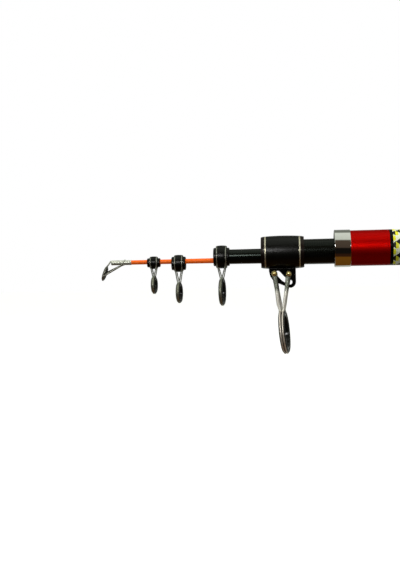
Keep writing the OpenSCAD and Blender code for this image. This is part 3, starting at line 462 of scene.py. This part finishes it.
def diamond_print():
    """A wrap of thread under clear epoxy: rows of black triangles backed by yellow on silver."""
    k = Look("diamond_thread_wrap")
    x, turn = k.round_axis(0.0)[:2]
    # Millimetres per row and per thread, triangles round the tube, where their count starts, and how far
    # each row is shifted from the one before it, as a share of the triangles' pitch
    row_length, thread_pitch, triangles, count_start, row_shift = 2.7, 0.24, 8.0, 40.37, 0.23
    along = k.math("DIVIDE", k.math("SUBTRACT", x, PATTERN_FRONT - GRIP_MIDDLE), row_length)
    row = k.math("FLOOR", along)
    ahead = k.math("SUBTRACT", along, row)
    wobble = k.fit(k.noise(k.place, 1.6, 2), 0.2, 0.8, -0.02, 0.02)
    around = k.math("ADD", k.math("MULTIPLY", turn, triangles), k.math("ADD", wobble, count_start))

    def off_row(shift):
        """Distance round the tube from the nearest triangle's middle, as a share of their pitch."""
        moved = k.math("MULTIPLY", k.math("SUBTRACT", row, shift), -row_shift)
        return k.math("ABSOLUTE", k.math("SUBTRACT", k.math("FRACT", k.math("ADD", around, moved)), 0.5))

    here, before = off_row(0.0), off_row(1.0)
    core = k.math("SUBTRACT", k.math("MULTIPLY", k.math("ADD", ahead, wobble), 0.27), here)
    behind = k.math("MULTIPLY", k.fit(before, 0.27, 0.26), k.fit(ahead, 0.60, 0.56))
    border = k.math("MULTIPLY", k.math("MULTIPLY", k.fit(here, 0.28, 0.32), k.fit(ahead, 0.36, 0.42)),
                    k.fit(along, 1.04, 1.0))
    thread = k.zigzag(k.math("DIVIDE", x, thread_pitch))
    strand = k.noise(k.join(k.math("MULTIPLY", x, 4.1), k.math("MULTIPLY", turn, 60.0), 0.0), 1.5, 3)
    silver = k.mix(k.fit(strand, 0.3, 0.7), (0.66, 0.70, 0.54), (0.86, 0.90, 0.72))
    yellow = k.mix(k.fit(strand, 0.3, 0.7), (0.68, 0.65, 0.010), (0.86, 0.84, 0.040))
    black = k.mix(k.fit(strand, 0.3, 0.7), (0.004, 0.004, 0.003), (0.012, 0.012, 0.010))
    colour = k.mix(k.math("MAXIMUM", behind, border), silver, yellow)
    colour = k.mix(k.fit(core, -0.008, 0.004), colour, black)
    colour = k.mix(k.fit(thread, 0.0, 0.4, 0.22, 0.0), colour, (0.05, 0.05, 0.03))
    normal = k.soft_edges(0.1)[0]
    # The emission is painted light: a faint glow that brightens the whole wrap, its shaded lower half
    # included
    k.set(Base_Color=colour, Roughness=k.fit(strand, 0.3, 0.7, 0.42, 0.58), Specular_IOR_Level=0.2,
          Emission_Color=colour, Emission_Strength=0.11, Sheen_Weight=0.05, Sheen_Roughness=0.4,
          Coat_Weight=0.08, Coat_Roughness=0.12,
          Normal=k.bump(thread, 0.03, normal), Coat_Normal=k.bump(k.noise(k.place, 0.25, 2), 0.012, normal))
    return k.material


def foam(name):
    """Dense black EVA foam with open pores cut by sanding."""
    k = Look(name)
    big = k.cells(k.place, 1.5)
    small = k.cells(k.place, 4.0)
    cloud = k.noise(k.place, 0.12, 5)
    scuff = k.noise(stretched(k, 0.3), 1.2, 4)
    pores = k.math("MULTIPLY", k.fit(big, 0.05, 0.35, smooth=True), k.fit(small, 0.02, 0.30, smooth=True))
    colour = k.mix(pores, (0.0040, 0.0040, 0.0042), (0.0150, 0.0150, 0.0155))
    colour = k.mix(k.fit(cloud, 0.4, 0.75, 0.0, 0.6), colour, (0.0240, 0.0240, 0.0245))
    colour = k.mix(k.fit(scuff, 0.6, 0.8, 0.0, 0.25), colour, (0.040, 0.040, 0.041))
    k.set(Base_Color=colour, Roughness=k.fit(cloud, 0.3, 0.7, 0.78, 0.92), Specular_IOR_Level=0.25,
          Sheen_Weight=0.12, Sheen_Roughness=0.6,
          Normal=k.bump(k.math("ADD", pores, k.math("MULTIPLY", scuff, 0.5)), 0.06))
    return k.material


def rubber(name):
    """Matt black rubber with a moulded grain and dusty raised parts."""
    k = Look(name)
    grain = k.cells(k.place, 2.6)
    cloud = k.noise(k.place, 0.25, 5)
    normal, edge = k.soft_edges(0.3)
    colour = k.mix(k.fit(cloud, 0.35, 0.75), (0.0060, 0.0058, 0.0055), (0.0160, 0.0155, 0.0150))
    colour = k.mix(k.math("MULTIPLY", edge, 0.35), colour, (0.050, 0.048, 0.045))
    k.set(Base_Color=colour, Roughness=k.fit(cloud, 0.3, 0.7, 0.62, 0.80), Specular_IOR_Level=0.35,
          Normal=k.bump(grain, 0.02, normal))
    return k.material


def fibre(name):
    """Wound tan fibre tape."""
    k = Look(name)
    x, turn, radius = k.round_axis(0.0)
    wind = k.math("FRACT", k.math("ADD", k.math("DIVIDE", x, 6.0), turn))
    strand = k.noise(k.join(k.math("MULTIPLY", x, 0.4), k.math("MULTIPLY", turn, 30.0), radius), 2.0, 4)
    colour = k.mix(k.fit(strand, 0.3, 0.7), (0.42, 0.33, 0.20), (0.56, 0.46, 0.30))
    colour = k.mix(k.fit(wind, 0.0, 0.06, 0.6, 0.0), colour, (0.25, 0.18, 0.10))
    k.set(Base_Color=colour, Roughness=0.8, Normal=k.bump(strand, 0.03))
    return k.material


def graphite(name):
    """Glossy graphite-filled plastic with fine bright flecks."""
    k = Look(name)
    fleck = k.cells(k.place, 5.0)
    cloud = k.noise(k.place, 0.2, 5)
    normal, edge = k.soft_edges(0.3)
    colour = k.mix(k.fit(cloud, 0.3, 0.7), (0.010, 0.010, 0.011), (0.020, 0.020, 0.022))
    colour = k.mix(k.fit(fleck, 0.0, 0.12, 0.8, 0.0), colour, (0.075, 0.078, 0.085))
    colour = k.mix(k.math("MULTIPLY", edge, 0.3), colour, (0.06, 0.06, 0.065))
    k.set(Base_Color=colour, Roughness=k.fit(cloud, 0.3, 0.7, 0.22, 0.34), Specular_IOR_Level=0.55,
          Normal=k.bump(fleck, 0.004, normal))
    return k.material


CHROME = plated("polished_chrome", (0.84, 0.85, 0.81), (0.70, 0.71, 0.68), 0.02, 0.01, wear=0.8)
BRASS = plated("rubbed_brass", (1.0, 0.83, 0.34), (0.82, 0.62, 0.18), 0.15, 0.05, 0.75)
BAND = plated("pale_gold_band", (0.60, 0.57, 0.42), (0.44, 0.40, 0.26), 0.22, 0.05, 0.6)
ALUMINIUM = plated("turned_aluminium", (0.74, 0.75, 0.76), (0.58, 0.59, 0.60), 0.22, 0.10)
MOULDED = moulded("moulded_black", (0.0014, 0.0015, 0.0009), (0.0032, 0.0034, 0.0024), 0.28)
LARGE_MOULDED = moulded("moulded_black_warm_ends", (0.0014, 0.0015, 0.0009), (0.0032, 0.0034, 0.0024), 0.30,
                        ends=(-413.8, -394.7), flat_top=-10.5)
CAP_MOULDED = moulded("moulded_black_matt", (0.0090, 0.0090, 0.0092), (0.0150, 0.0150, 0.0155), 0.42)
FOAM = foam("eva_foam_pores")
RUBBER = rubber("moulded_rubber")
GRAPHITE = graphite("graphite_plastic")
BLACK_LACQUER = glazed("black_epoxy_band", (0.0014, 0.0014, 0.0010), (0.0036, 0.0036, 0.0030), 0.14, 0.06)
SHOCK = glazed("dark_shock_ring", (0.0060, 0.0064, 0.0042), (0.0120, 0.0126, 0.0088), 0.28)
CERAMIC = glazed("polished_ceramic", (0.0100, 0.0104, 0.0090), (0.0190, 0.0200, 0.0180), 0.06)

FINISH = {
    "handle_tube": red_lacquer(), "mouth_ferrule": CHROME, "diamond_wrap": diamond_print(),
    "wrap_bands": BLACK_LACQUER, "front_check": CHROME, "seat_arbors": fibre("wound_fibre"),
    "reel_seat": GRAPHITE, "fixed_hood": GRAPHITE, "sliding_hood": GRAPHITE, "rear_check": CHROME,
    "butt_insert": ALUMINIUM, "lock_nut": CAP_MOULDED, "cap_seal": RUBBER, "butt_cap": CAP_MOULDED,
    "section_2_tube": carbon("carbon_section_2", SECTION_2_Z, 1.25, 0.14),
    "section_3_tube": carbon("carbon_section_3", SECTION_3_Z, 1.1, 0.20),
    "tip_rod": orange_paint(), "large_sleeve": LARGE_MOULDED, "large_sleeve_bands": BAND,
    "pivot_rivet": BRASS, "snap_rivets": BRASS,
    "guide_3_sleeve": MOULDED, "guide_2_sleeve": MOULDED, "guide_1_sleeve": MOULDED,
}
for ringed in ("large", "guide_3", "guide_2", "guide_1", "tip"):
    FINISH[ringed + "_ring"] = SHOCK
    FINISH[ringed + "_insert"] = CERAMIC


def smooth_shading(limit):
    """A node group that joins a mesh's faces and shades them smoothly up to an edge angle in degrees."""
    group = bpy.data.node_groups.new("smooth_by_angle", "GeometryNodeTree")
    group.interface.new_socket("Geometry", in_out="INPUT", socket_type="NodeSocketGeometry")
    group.interface.new_socket("Geometry", in_out="OUTPUT", socket_type="NodeSocketGeometry")
    start = group.nodes.new("NodeGroupInput")
    end = group.nodes.new("NodeGroupOutput")
    merge = group.nodes.new("GeometryNodeMergeByDistance")
    merge.inputs["Distance"].default_value = 2e-6
    angle = group.nodes.new("GeometryNodeInputMeshEdgeAngle")
    sharp = group.nodes.new("ShaderNodeMath")
    sharp.operation = "GREATER_THAN"
    sharp.inputs[1].default_value = math.radians(limit)
    normals = group.nodes.new("GeometryNodeSetMeshNormal")
    normals.mode = "SHARPNESS"
    normals.inputs["Remove Custom"].default_value = True
    group.links.new(start.outputs[0], merge.inputs[0])
    group.links.new(merge.outputs[0], normals.inputs["Mesh"])
    group.links.new(angle.outputs["Unsigned Angle"], sharp.inputs[0])
    group.links.new(sharp.outputs[0], normals.inputs["Edge Sharpness"])
    group.links.new(normals.outputs[0], end.inputs[0])
    return group


SMOOTH = smooth_shading(34)
for name, material in FINISH.items():
    node = NODES[name]
    node.data.materials.clear()
    node.data.materials.append(material)
    node.modifiers.new("smooth_by_angle", "NODES").node_group = SMOOTH
    weigh = node.modifiers.new("normals_by_area", "WEIGHTED_NORMAL")
    weigh.keep_sharp = True


# Guide frames

# Points round a hoop
WIRE_TURNS = 96
# Angles from the top of a ring to where its legs join
JOIN_ANGLE = math.radians(18)
SMALL_JOIN_ANGLE = math.radians(27)
# The large ring's centre, its lean along the rod and its turn about the vertical
LARGE_RING_X, LARGE_RING_Z = -28.1, -44.9
LARGE_RING_LEAN, LARGE_RING_TURN = math.radians(4.7), math.radians(6.6)


def hoop(wires, place, radius, wire_d):
    """A closed wire. place(y, z) gives a point of the hoop's plane in millimetres."""
    path = [place(radius * math.sin(a), radius * math.cos(a))
            for a in (2 * math.pi * k / WIRE_TURNS for k in range(WIRE_TURNS))]
    normal = (path[0] - path[WIRE_TURNS // 3]).cross(path[0] - path[2 * WIRE_TURNS // 3])
    wires.sweep(path, (wire_d * MM, wire_d * MM), normal.normalized(), closed=True)


def large_ring_point(x, y, z):
    """A point from the large ring's centre in the ring's own directions, millimetres."""
    lean, turn = LARGE_RING_LEAN, LARGE_RING_TURN
    across = x * math.cos(lean) - z * math.sin(lean)
    height = x * math.sin(lean) + z * math.cos(lean)
    return at(LARGE_RING_X + across * math.cos(turn) + y * math.sin(turn),
              y * math.cos(turn) - across * math.sin(turn), LARGE_RING_Z + height)


def large_frame():
    """Two wires side by side round the ring, flattened into legs that end in eyes."""
    wires = Wires()
    # The hoops' radius, their wire and their distance apart
    radius, wire_d, pitch = 11.95, 0.85, 1.24
    # How far the hoops part toward their tops, as a share of their pitch
    parting = 0.32
    # Stations and heights of the eyes, and their distance from the middle
    eyes, eye_y = ((-32.95, -12.95), (-25.1, -13.3)), 3.15
    # Angles from the top at which the legs end along the hoops, and the size of the brazed blobs
    tails, blob = (19, 27, 36, 46), Vector((0.78, 0.72, 0.95)) * MM
    # Distance down a leg from its eye's centre, and the leg's width and thickness there
    legs = ((-1.66, 0.5, 0.5), (-1.5, 1.5, 0.8), (-1.1, 2.5, 0.95), (-0.5, 3.2, 1.0), (0.0, 3.35, 1.0),
            (0.9, 3.2, 1.0), (2.2, 2.9, 1.0), (5.0, 2.45, 1.0), (8.5, 2.0, 1.05), (11.5, 1.7, 1.15),
            (14.0, 1.6, 1.2), (17.0, 1.5, 1.1))
    for i, eye in enumerate(eyes):
        side_x = (i - 0.5) * pitch

        def place(y, z, side_x=side_x):
            return large_ring_point(side_x * (1 + parting * max(0.0, z / radius)), y, z)

        hoop(wires, place, radius, wire_d)
        for side in (-1, 1):
            top = at(eye[0], side * eye_y, eye[1])
            join = place(side * radius * math.sin(JOIN_ANGLE), radius * math.cos(JOIN_ANGLE))
            down = (join - top).normalized()
            length = (join - top).length / MM
            stations = [s for s in legs if s[0] < length - 2]
            # The front wire's legs bow a little, the near one ahead and the far one back
            bow = Vector(((0.0 if i else 0.4 * side - 0.1) * MM, 0, 0))
            shares = [max(0.0, s[0] / length) ** 3 for s in stations]
            points = [top + down * (s[0] * MM) + bow * max(0.0, math.sin(math.pi * share))
                      for s, share in zip(stations, shares)]
            sizes = [(s[1] * MM, s[2] * MM) for s in stations]
            for angle in tails:
                a = math.radians(angle)
                points.append(place(side * radius * math.sin(a), radius * math.cos(a)))
                sizes.append((wire_d * MM, wire_d * MM))
            per = 4
            path = smooth_path(points, per)
            widths = []
            for n in range(len(path)):
                s, t = divmod(n, per)
                a, b = sizes[s], sizes[min(s + 1, len(sizes) - 1)]
                widths.append(tuple(a[m] + (b[m] - a[m]) * t / per for m in (0, 1)))
            wires.sweep(path, widths, Vector((0, 1, 0)), segments=18)
            wires.ball(join, blob)
    # Painted reflection: the upper legs are darker, and the lower legs and the hoops paler, than the wire's
    # own tone, for the dark and bright surroundings that they mirror
    steel = guide_wire("large_guide_wire", (
        (-22.6, 0.0, (0.21, 0.23, 0.18), 0.75), (-33.5, -22.6, (0.88, 0.86, 0.76), 0.3),
        (-80.0, -33.5, (0.84, 0.77, 0.67), 0.5)), 1.3)
    return wires.piece("large_frame_wires", steel, "large_guide")


def small_frame(name, body, axis_z, ring_d, front, length, drop, sleeve_d):
    """Two wires that each go round the sleeve and round the ring, with a pair of legs between."""
    wires = Wires()
    # The wire, the distance between the ring's hoops, the ring's turn about the vertical, and how far the
    # loops and the sleeve's shoulders are from the sleeve's ends
    wire_d, pitch, turn, loop_back, shoulder = 0.65, 0.585, math.radians(5), 1.975, 1.45
    # Height of the sleeve's crown over its ends, and how far the loops stand proud of it
    crown, proud = 0.4, 0.08
    # A leg leaves its loop as far out as the ring is at this angle from its top, or at a share of the
    # loop's radius where that is less
    foot_angle, foot_share = math.radians(38), 0.88
    # Legs: angles by which they start along the loop and end along the ring, shares of the way between, and
    # their thickness. Then the size of the brazed blobs
    starts, spans, tails = (0.4, 0.2), (0.14, 0.4, 0.65, 0.88), (0.1, 0.3, 0.5)
    leg_d, blob = 0.97 * wire_d * MM, Vector((0.42, 0.42, 0.5)) * MM
    ring_x = front + length / 2
    ring_r = (ring_d - wire_d) / 2
    barrel_share = (loop_back - shoulder) / (length - 2 * shoulder)
    barrel_r = sleeve_d / 2 - crown * (1 - math.sqrt(math.sin(math.pi * barrel_share)))
    loop_r = barrel_r - wire_d / 2 + proud
    join_y, join_z = ring_r * math.sin(SMALL_JOIN_ANGLE), ring_r * math.cos(SMALL_JOIN_ANGLE)
    foot_y = min(ring_r * math.sin(foot_angle), foot_share * loop_r)
    leave = math.asin(foot_y / loop_r)
    for i in (0, 1):
        loop_x = front + loop_back if i == 0 else front + length - loop_back

        def loop(y, z, x=loop_x):
            return at(x, y, axis_z + z)

        def round_ring(y, z, x=(i - 0.5) * pitch):
            return at(ring_x + x * math.cos(turn) + y * math.sin(turn),
                      y * math.cos(turn) - x * math.sin(turn), axis_z - drop + z)

        hoop(wires, loop, loop_r, wire_d)
        hoop(wires, round_ring, ring_r, wire_d)
        for side in (-1, 1):
            points = [loop(side * loop_r * math.sin(leave + b), -loop_r * math.cos(leave + b))
                      for b in starts]
            foot = loop(side * foot_y, -loop_r * math.cos(leave))
            join = round_ring(side * join_y, join_z)
            points += [foot.lerp(join, t) for t in spans]
            points += [round_ring(side * ring_r * math.sin(a), ring_r * math.cos(a))
                       for a in (SMALL_JOIN_ANGLE + b for b in tails)]
            wires.sweep(smooth_path(points, 5), (leg_d, leg_d), Vector((0, 1, 0)))
            wires.ball(join, blob)
    steel = guide_wire(name + "_steel", (
        (-80.0, axis_z - drop + join_z - 0.4, (0.34, 0.35, 0.27), 0.8),
        (axis_z - sleeve_d / 2 + 0.5, 20.0, (0.36, 0.37, 0.31), 0.8)))
    return wires.piece(name, steel, body)


def tip_frame():
    """The tip top: a capped tube, a wire wound over it, a front arm, two braces and a hoop."""
    wires = Wires()
    # Ends and radii of the tube, and where its bore ends
    front, back, outer, bore = -123.3, -112.0, 1.35, 0.99
    bore_end = front + 0.9
    wires.turned(rounded_profile([
        (front, 0.02, 0), (front, outer, 0.45), (front + 1.2, outer, 0), (back - 0.6, outer, 0),
        (back, outer, 0.12), (back, bore, 0.05), (bore_end, bore, 0), (bore_end, 0.02, 0)]), TIP_Z)
    # The ring: its wire and diameter, how far it is ahead of the tube and below it, and how it is turned
    wire_d, ring_d, ahead, drop = 0.9, 8.6, 3.9, 6.0
    ring_r = (ring_d - wire_d) / 2
    lean, turn, roll = math.radians(18.8), math.radians(4), math.radians(14)
    # The wire wound over the tube: its middle, its slant along the tube and its thickness
    wound_x, wound_slant, wound_d = front + 6.8, 0.6, 0.7
    # The front arm's height over the tube's axis, and its thickness
    arm_z, arm_d = TIP_Z + 0.9, 0.92 * wire_d * MM
    # The braces: where they leave the tube, their thickness, and angles where they meet the hoop and end
    brace_x, brace_y, brace_d = front + 6.05, 0.45, 1.15 * wire_d * MM
    brace_angle, tails = math.radians(100), (math.radians(107), math.radians(120))
    # Radius of the brazed blobs
    blob_r = 0.56 * MM

    def round_ring(y, z):
        x = z * math.sin(lean)
        across = y * math.cos(turn) - x * math.sin(turn)
        height = z * math.cos(lean) - drop
        return at(front - ahead + x * math.cos(turn) + y * math.sin(turn),
                  across * math.cos(roll) - height * math.sin(roll),
                  TIP_Z + across * math.sin(roll) + height * math.cos(roll))

    hoop(wires, round_ring, ring_r, wire_d)
    hoop(wires, lambda y, z: at(wound_x + wound_slant * z, y, TIP_Z + z), outer + 0.1, wound_d)
    top = round_ring(0, ring_r)
    arm = [at(front + 0.8, 0, arm_z), at(front, 0, arm_z), at(front - 0.35, 0, arm_z - 0.25)]
    arm += [arm[2].lerp(top, t) for t in (0.35, 0.75)] + [top]
    wires.sweep(smooth_path(arm, 6), (arm_d, arm_d), Vector((0, 1, 0)))
    wires.ball(top, (blob_r, blob_r, blob_r))
    for side in (-1, 1):
        end = round_ring(side * ring_r * math.sin(brace_angle), ring_r * math.cos(brace_angle))
        root = at(brace_x, side * brace_y, TIP_Z - outer)
        brace = [at(brace_x + 1.35, side * brace_y, TIP_Z - outer + 0.4), root]
        brace += [root.lerp(end, t) for t in (0.3, 0.6, 0.88)]
        brace += [round_ring(side * ring_r * math.sin(a), ring_r * math.cos(a)) for a in tails]
        wires.sweep(smooth_path(brace, 6), (brace_d, brace_d), Vector((0, 1, 0)))
        wires.ball(end, (blob_r, blob_r, blob_r + 0.1 * MM))
    steel = guide_wire("tip_top_steel", (
        (-30.0, TIP_Z - outer - 0.4, (0.24, 0.24, 0.20), 0.8),
        (TIP_Z - outer + 0.2, 10.0, (0.60, 0.62, 0.52), 0.30)))
    return wires.piece("tip_top_wires", steel, "tip")


# Each small frame's node, piece, body and axis, then its ring's diameter, the sleeve's front and length,
# the ring's drop and the sleeve's diameter
SMALL_FRAMES = (
    ("guide_3_frame", "guide_3_wires", "section_3", SECTION_3_Z, 15.7, -66.2, 8.8, 19.1, 12.7),
    ("guide_2_frame", "guide_2_wires", "guide_2", GUIDE_2_Z, 11.8, -89.5, 7.8, 16.1, 9.5),
    ("guide_1_frame", "guide_1_wires", "guide_1", GUIDE_1_Z, 10.1, -103.1, 7.3, 12.3, 7.0),
)

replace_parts(large_frame(), "large_frame")
for node, *guide in SMALL_FRAMES:
    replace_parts(small_frame(*guide), node)
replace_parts(tip_frame(), "tip_top")


# Soft pieces

def radii_at(node, x):
    """Least and greatest distance from the handle's axis of a node's points at a station, millimetres."""
    found = [math.hypot(v.co.y, v.co.z) / MM for v in NODES[node].data.vertices
             if abs(v.co.x / MM + GRIP_MIDDLE - x) < 0.01]
    return min(found), max(found)


# Edge rounding of the grips as a share of their foam's wall
GRIP_ROUND_SHARE = 0.7


def grip(node, name, front, back, swell):
    """A turned foam grip with rounded ends, a little fuller in its middle, fitted to its node's bore."""
    bore0, face0 = radii_at(node, front)
    bore1 = radii_at(node, back)[0]
    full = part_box(node)[1].z / MM
    front_r = min(full, bore0 + (face0 - bore0) / (1 - GRIP_ROUND_SHARE))
    steps = 24
    outer = []
    for k in range(steps + 1):
        t = k / steps
        ease = t * t * (3 - 2 * t)
        outer.append((front + (back - front) * t, front_r + (full - front_r) * ease
                      - swell * (1 - math.sin(math.pi * t)), 0))
    outer[0] = (*outer[0][:2], GRIP_ROUND_SHARE * (front_r - bore0))
    outer[-1] = (*outer[-1][:2], GRIP_ROUND_SHARE * (full - bore1))
    corners = [(back, bore1, 0.15), (front, bore0, 0.15)] + outer
    verts, faces = lathe(rounded_profile(corners), 0.0, 128)
    obj = mesh_object(name, verts, faces, FOAM, "handle")
    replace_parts(obj, node)


# Stations of the grips' ends, and how much fuller their middles are
grip("foregrip", "foregrip_foam", 143.0, 200.0, 0.12)
grip("rear_grip", "rear_grip_foam", 316.0, 436.0, 0.18)


def butt_pad():
    """The rubber pad in the cap, domed, with moulded rings in its end face."""
    lo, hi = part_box("butt_pad")
    front, back = lo.x / MM + GRIP_MIDDLE, hi.x / MM + GRIP_MIDDLE
    # Station of the shoulder, height of the dome, and the grooves' radii, depth and half widths
    shoulder, dome_height, grooves, depth, lip, bed = 440.0, 0.9, (9.4, 6.6, 3.8), 0.5, 0.55, 0.3
    outer = hi.z / MM
    stem = radii_at("butt_pad", front)[1]
    corners = [(front, 0.02, 0), (front, stem, 0.3), (shoulder, stem, 0), (shoulder, outer, 0.3),
               (back - dome_height, outer, 2.4)]
    for ring in grooves:
        dome = back - dome_height * (ring / outer) ** 2
        corners += [(dome, ring + lip, 0.2), (dome - depth, ring + bed, 0.2),
                    (dome - depth, ring - bed, 0.2), (dome, ring - lip, 0.2)]
    corners.append((back, 0.02, 0))
    verts, faces = lathe(rounded_profile(corners), 0.0, 96)
    obj = mesh_object("butt_pad_rubber", verts, faces, RUBBER, "cap")
    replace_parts(obj, "butt_pad")


def section_cushion():
    """The soft disc inside the cap on which the sections rest."""
    lo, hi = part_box("section_cushion")
    front, back = lo.x / MM + GRIP_MIDDLE, hi.x / MM + GRIP_MIDDLE
    outer = hi.z / MM
    corners = [(front + 0.25, 0.02, 0), (front, 0.6 * outer, 0.5), (front, outer, 0.9),
               ((front + back) / 2, outer - 0.15, 0.5), (back, outer, 0.5), (back, 0.02, 0)]
    verts, faces = lathe(rounded_profile(corners), 0.0, 64)
    obj = mesh_object("section_cushion_foam", verts, faces, RUBBER, "cap")
    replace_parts(obj, "section_cushion")


butt_pad()
section_cushion()


# Studio

def floor():
    """A wide white floor below the rod. It is lit from within for the camera and keeps the shadow."""
    mesh = bpy.data.meshes.new("floor")
    # Half its width and its height, metres
    half, level = 30.0, -0.12
    corners = [(-half, -half, level), (half, -half, level), (half, half, level), (-half, half, level)]
    mesh.from_pydata(corners, [], [[0, 1, 2, 3]])
    obj = bpy.data.objects.new("floor", mesh)
    bpy.context.scene.collection.objects.link(obj)
    obj.visible_glossy = False
    k = Look("white_floor")
    shade = k.noise(k.place, 0.02, 2)
    glow = k.nodes.new("ShaderNodeLightPath").outputs["Is Camera Ray"]
    seen = k.mix(shade, (0.90, 0.90, 0.90), (0.93, 0.93, 0.93))
    k.set(Base_Color=k.mix(glow, (0.12, 0.12, 0.12), seen), Roughness=0.9)
    k.set(Emission_Color=(1, 1, 1, 1), Emission_Strength=k.math("MULTIPLY", glow, 0.65))
    mesh.materials.append(k.material)


def world():
    """Surroundings by their angle about the rod: pale above and low behind, dark in front, brown below."""
    w = bpy.data.worlds.new("studio")
    bpy.context.scene.world = w
    w.use_nodes = True
    tree = w.node_tree
    back = tree.nodes["Background"]
    split = tree.nodes.new("ShaderNodeSeparateXYZ")
    tree.links.new(tree.nodes.new("ShaderNodeTexCoord").outputs["Generated"], split.inputs[0])
    flip = tree.nodes.new("ShaderNodeMath")
    flip.operation = "MULTIPLY"
    flip.inputs[1].default_value = -1.0
    tree.links.new(split.outputs["Y"], flip.inputs[0])
    angle = tree.nodes.new("ShaderNodeMath")
    angle.operation = "ARCTAN2"
    tree.links.new(split.outputs["Z"], angle.inputs[0])
    tree.links.new(flip.outputs[0], angle.inputs[1])
    share = tree.nodes.new("ShaderNodeMapRange")
    share.inputs["From Min"].default_value = -math.pi
    share.inputs["From Max"].default_value = math.pi
    tree.links.new(angle.outputs[0], share.inputs["Value"])
    ramp = tree.nodes.new("ShaderNodeValToRGB")
    tree.links.new(share.outputs[0], ramp.inputs[0])
    # Degrees up from the camera's direction, and the light that comes from there
    stops = ((-180, (0.30, 0.31, 0.29)), (-152, (0.52, 0.54, 0.49)), (-141, (0.56, 0.58, 0.53)),
             (-133, (0.110, 0.043, 0.005)), (-58, (0.135, 0.052, 0.005)), (-52, (0.030, 0.010, 0.004)),
             (-37, (0.024, 0.009, 0.004)), (-32, (0.006, 0.005, 0.004)), (-2, (0.006, 0.005, 0.004)),
             (5, (0.060, 0.042, 0.030)), (48, (0.078, 0.056, 0.040)), (56, (0.62, 0.65, 0.58)),
             (106, (0.72, 0.75, 0.68)), (117, (0.16, 0.17, 0.14)), (180, (0.30, 0.31, 0.29)))
    ramp.color_ramp.elements.remove(ramp.color_ramp.elements[1])
    for n, (degrees, colour) in enumerate(stops):
        place = (degrees + 180) / 360
        stop = ramp.color_ramp.elements[0] if n == 0 else ramp.color_ramp.elements.new(place)
        stop.position = place
        stop.color = (*colour, 1)
    white = tree.nodes.new("ShaderNodeMix")
    white.data_type = "RGBA"
    sockets = [s for s in white.inputs if s.type == "RGBA"]
    tree.links.new(tree.nodes.new("ShaderNodeLightPath").outputs["Is Camera Ray"], white.inputs[0])
    tree.links.new(ramp.outputs["Color"], sockets[0])
    sockets[1].default_value = (1, 1, 1, 1)
    tree.links.new(next(s for s in white.outputs if s.type == "RGBA"), back.inputs["Color"])
    back.inputs["Strength"].default_value = 1.0


def area_light(name, place, target, size, power, glossy=True, diffuse=True):
    """A soft rectangular light that faces target."""
    data = bpy.data.lights.new(name, "AREA")
    data.shape = "RECTANGLE"
    data.size, data.size_y = size
    data.energy = power
    obj = bpy.data.objects.new(name, data)
    obj.location = place
    obj.rotation_euler = (Vector(target) - Vector(place)).to_track_quat("-Z", "Y").to_euler()
    obj.visible_glossy = glossy
    obj.visible_diffuse = diffuse
    obj.visible_camera = False
    bpy.context.scene.collection.objects.link(obj)


def camera():
    """The photograph's camera: level with the guides, turned a little to the left, and rolled."""
    # Its place in metres, and its focal length and the photograph's height in pixels
    place, focal_px, height_px = (-0.401, -0.615, -0.0184), 1116.9, 570
    data = bpy.data.cameras.new("camera")
    data.sensor_width = 36.0
    data.lens = focal_px / height_px * data.sensor_width
    obj = bpy.data.objects.new("camera", data)
    turn = Matrix.Rotation(math.radians(4.562), 4, "Z")
    level = Matrix.Rotation(math.radians(90), 4, "X")
    roll = Matrix.Rotation(math.radians(-1.198), 4, "Z")
    obj.matrix_world = Matrix.Translation(place) @ turn @ level @ roll
    bpy.context.scene.collection.objects.link(obj)
    bpy.context.scene.camera = obj


floor()
world()
# Each light's place, target and size in metres, and its power in watts
area_light("front_fill", (-0.35, -0.58, 1.08), (-0.40, 0, -0.01), (1.2, 0.5), 15.0, glossy=False)
area_light("front_strip_left", (-0.84, -0.9, 0.26), (-0.84, 0, 0.0), (0.76, 0.20), 1.9, diffuse=False)
area_light("front_spot", (-0.56, -0.89, 0.255), (-0.45, 0, 0.0), (0.22, 0.22), 1.8, diffuse=False)
area_light("front_low_fill", (-0.25, -0.8, -0.40), (-0.25, 0, -0.01), (1.4, 0.3), 6.0, glossy=False)
area_light("front_strip_right", (0.16, -0.9, 0.26), (0.16, 0, 0.0), (0.86, 0.16), 1.0, diffuse=False)
camera()
bpy.context.scene.view_settings.view_transform = "Standard"
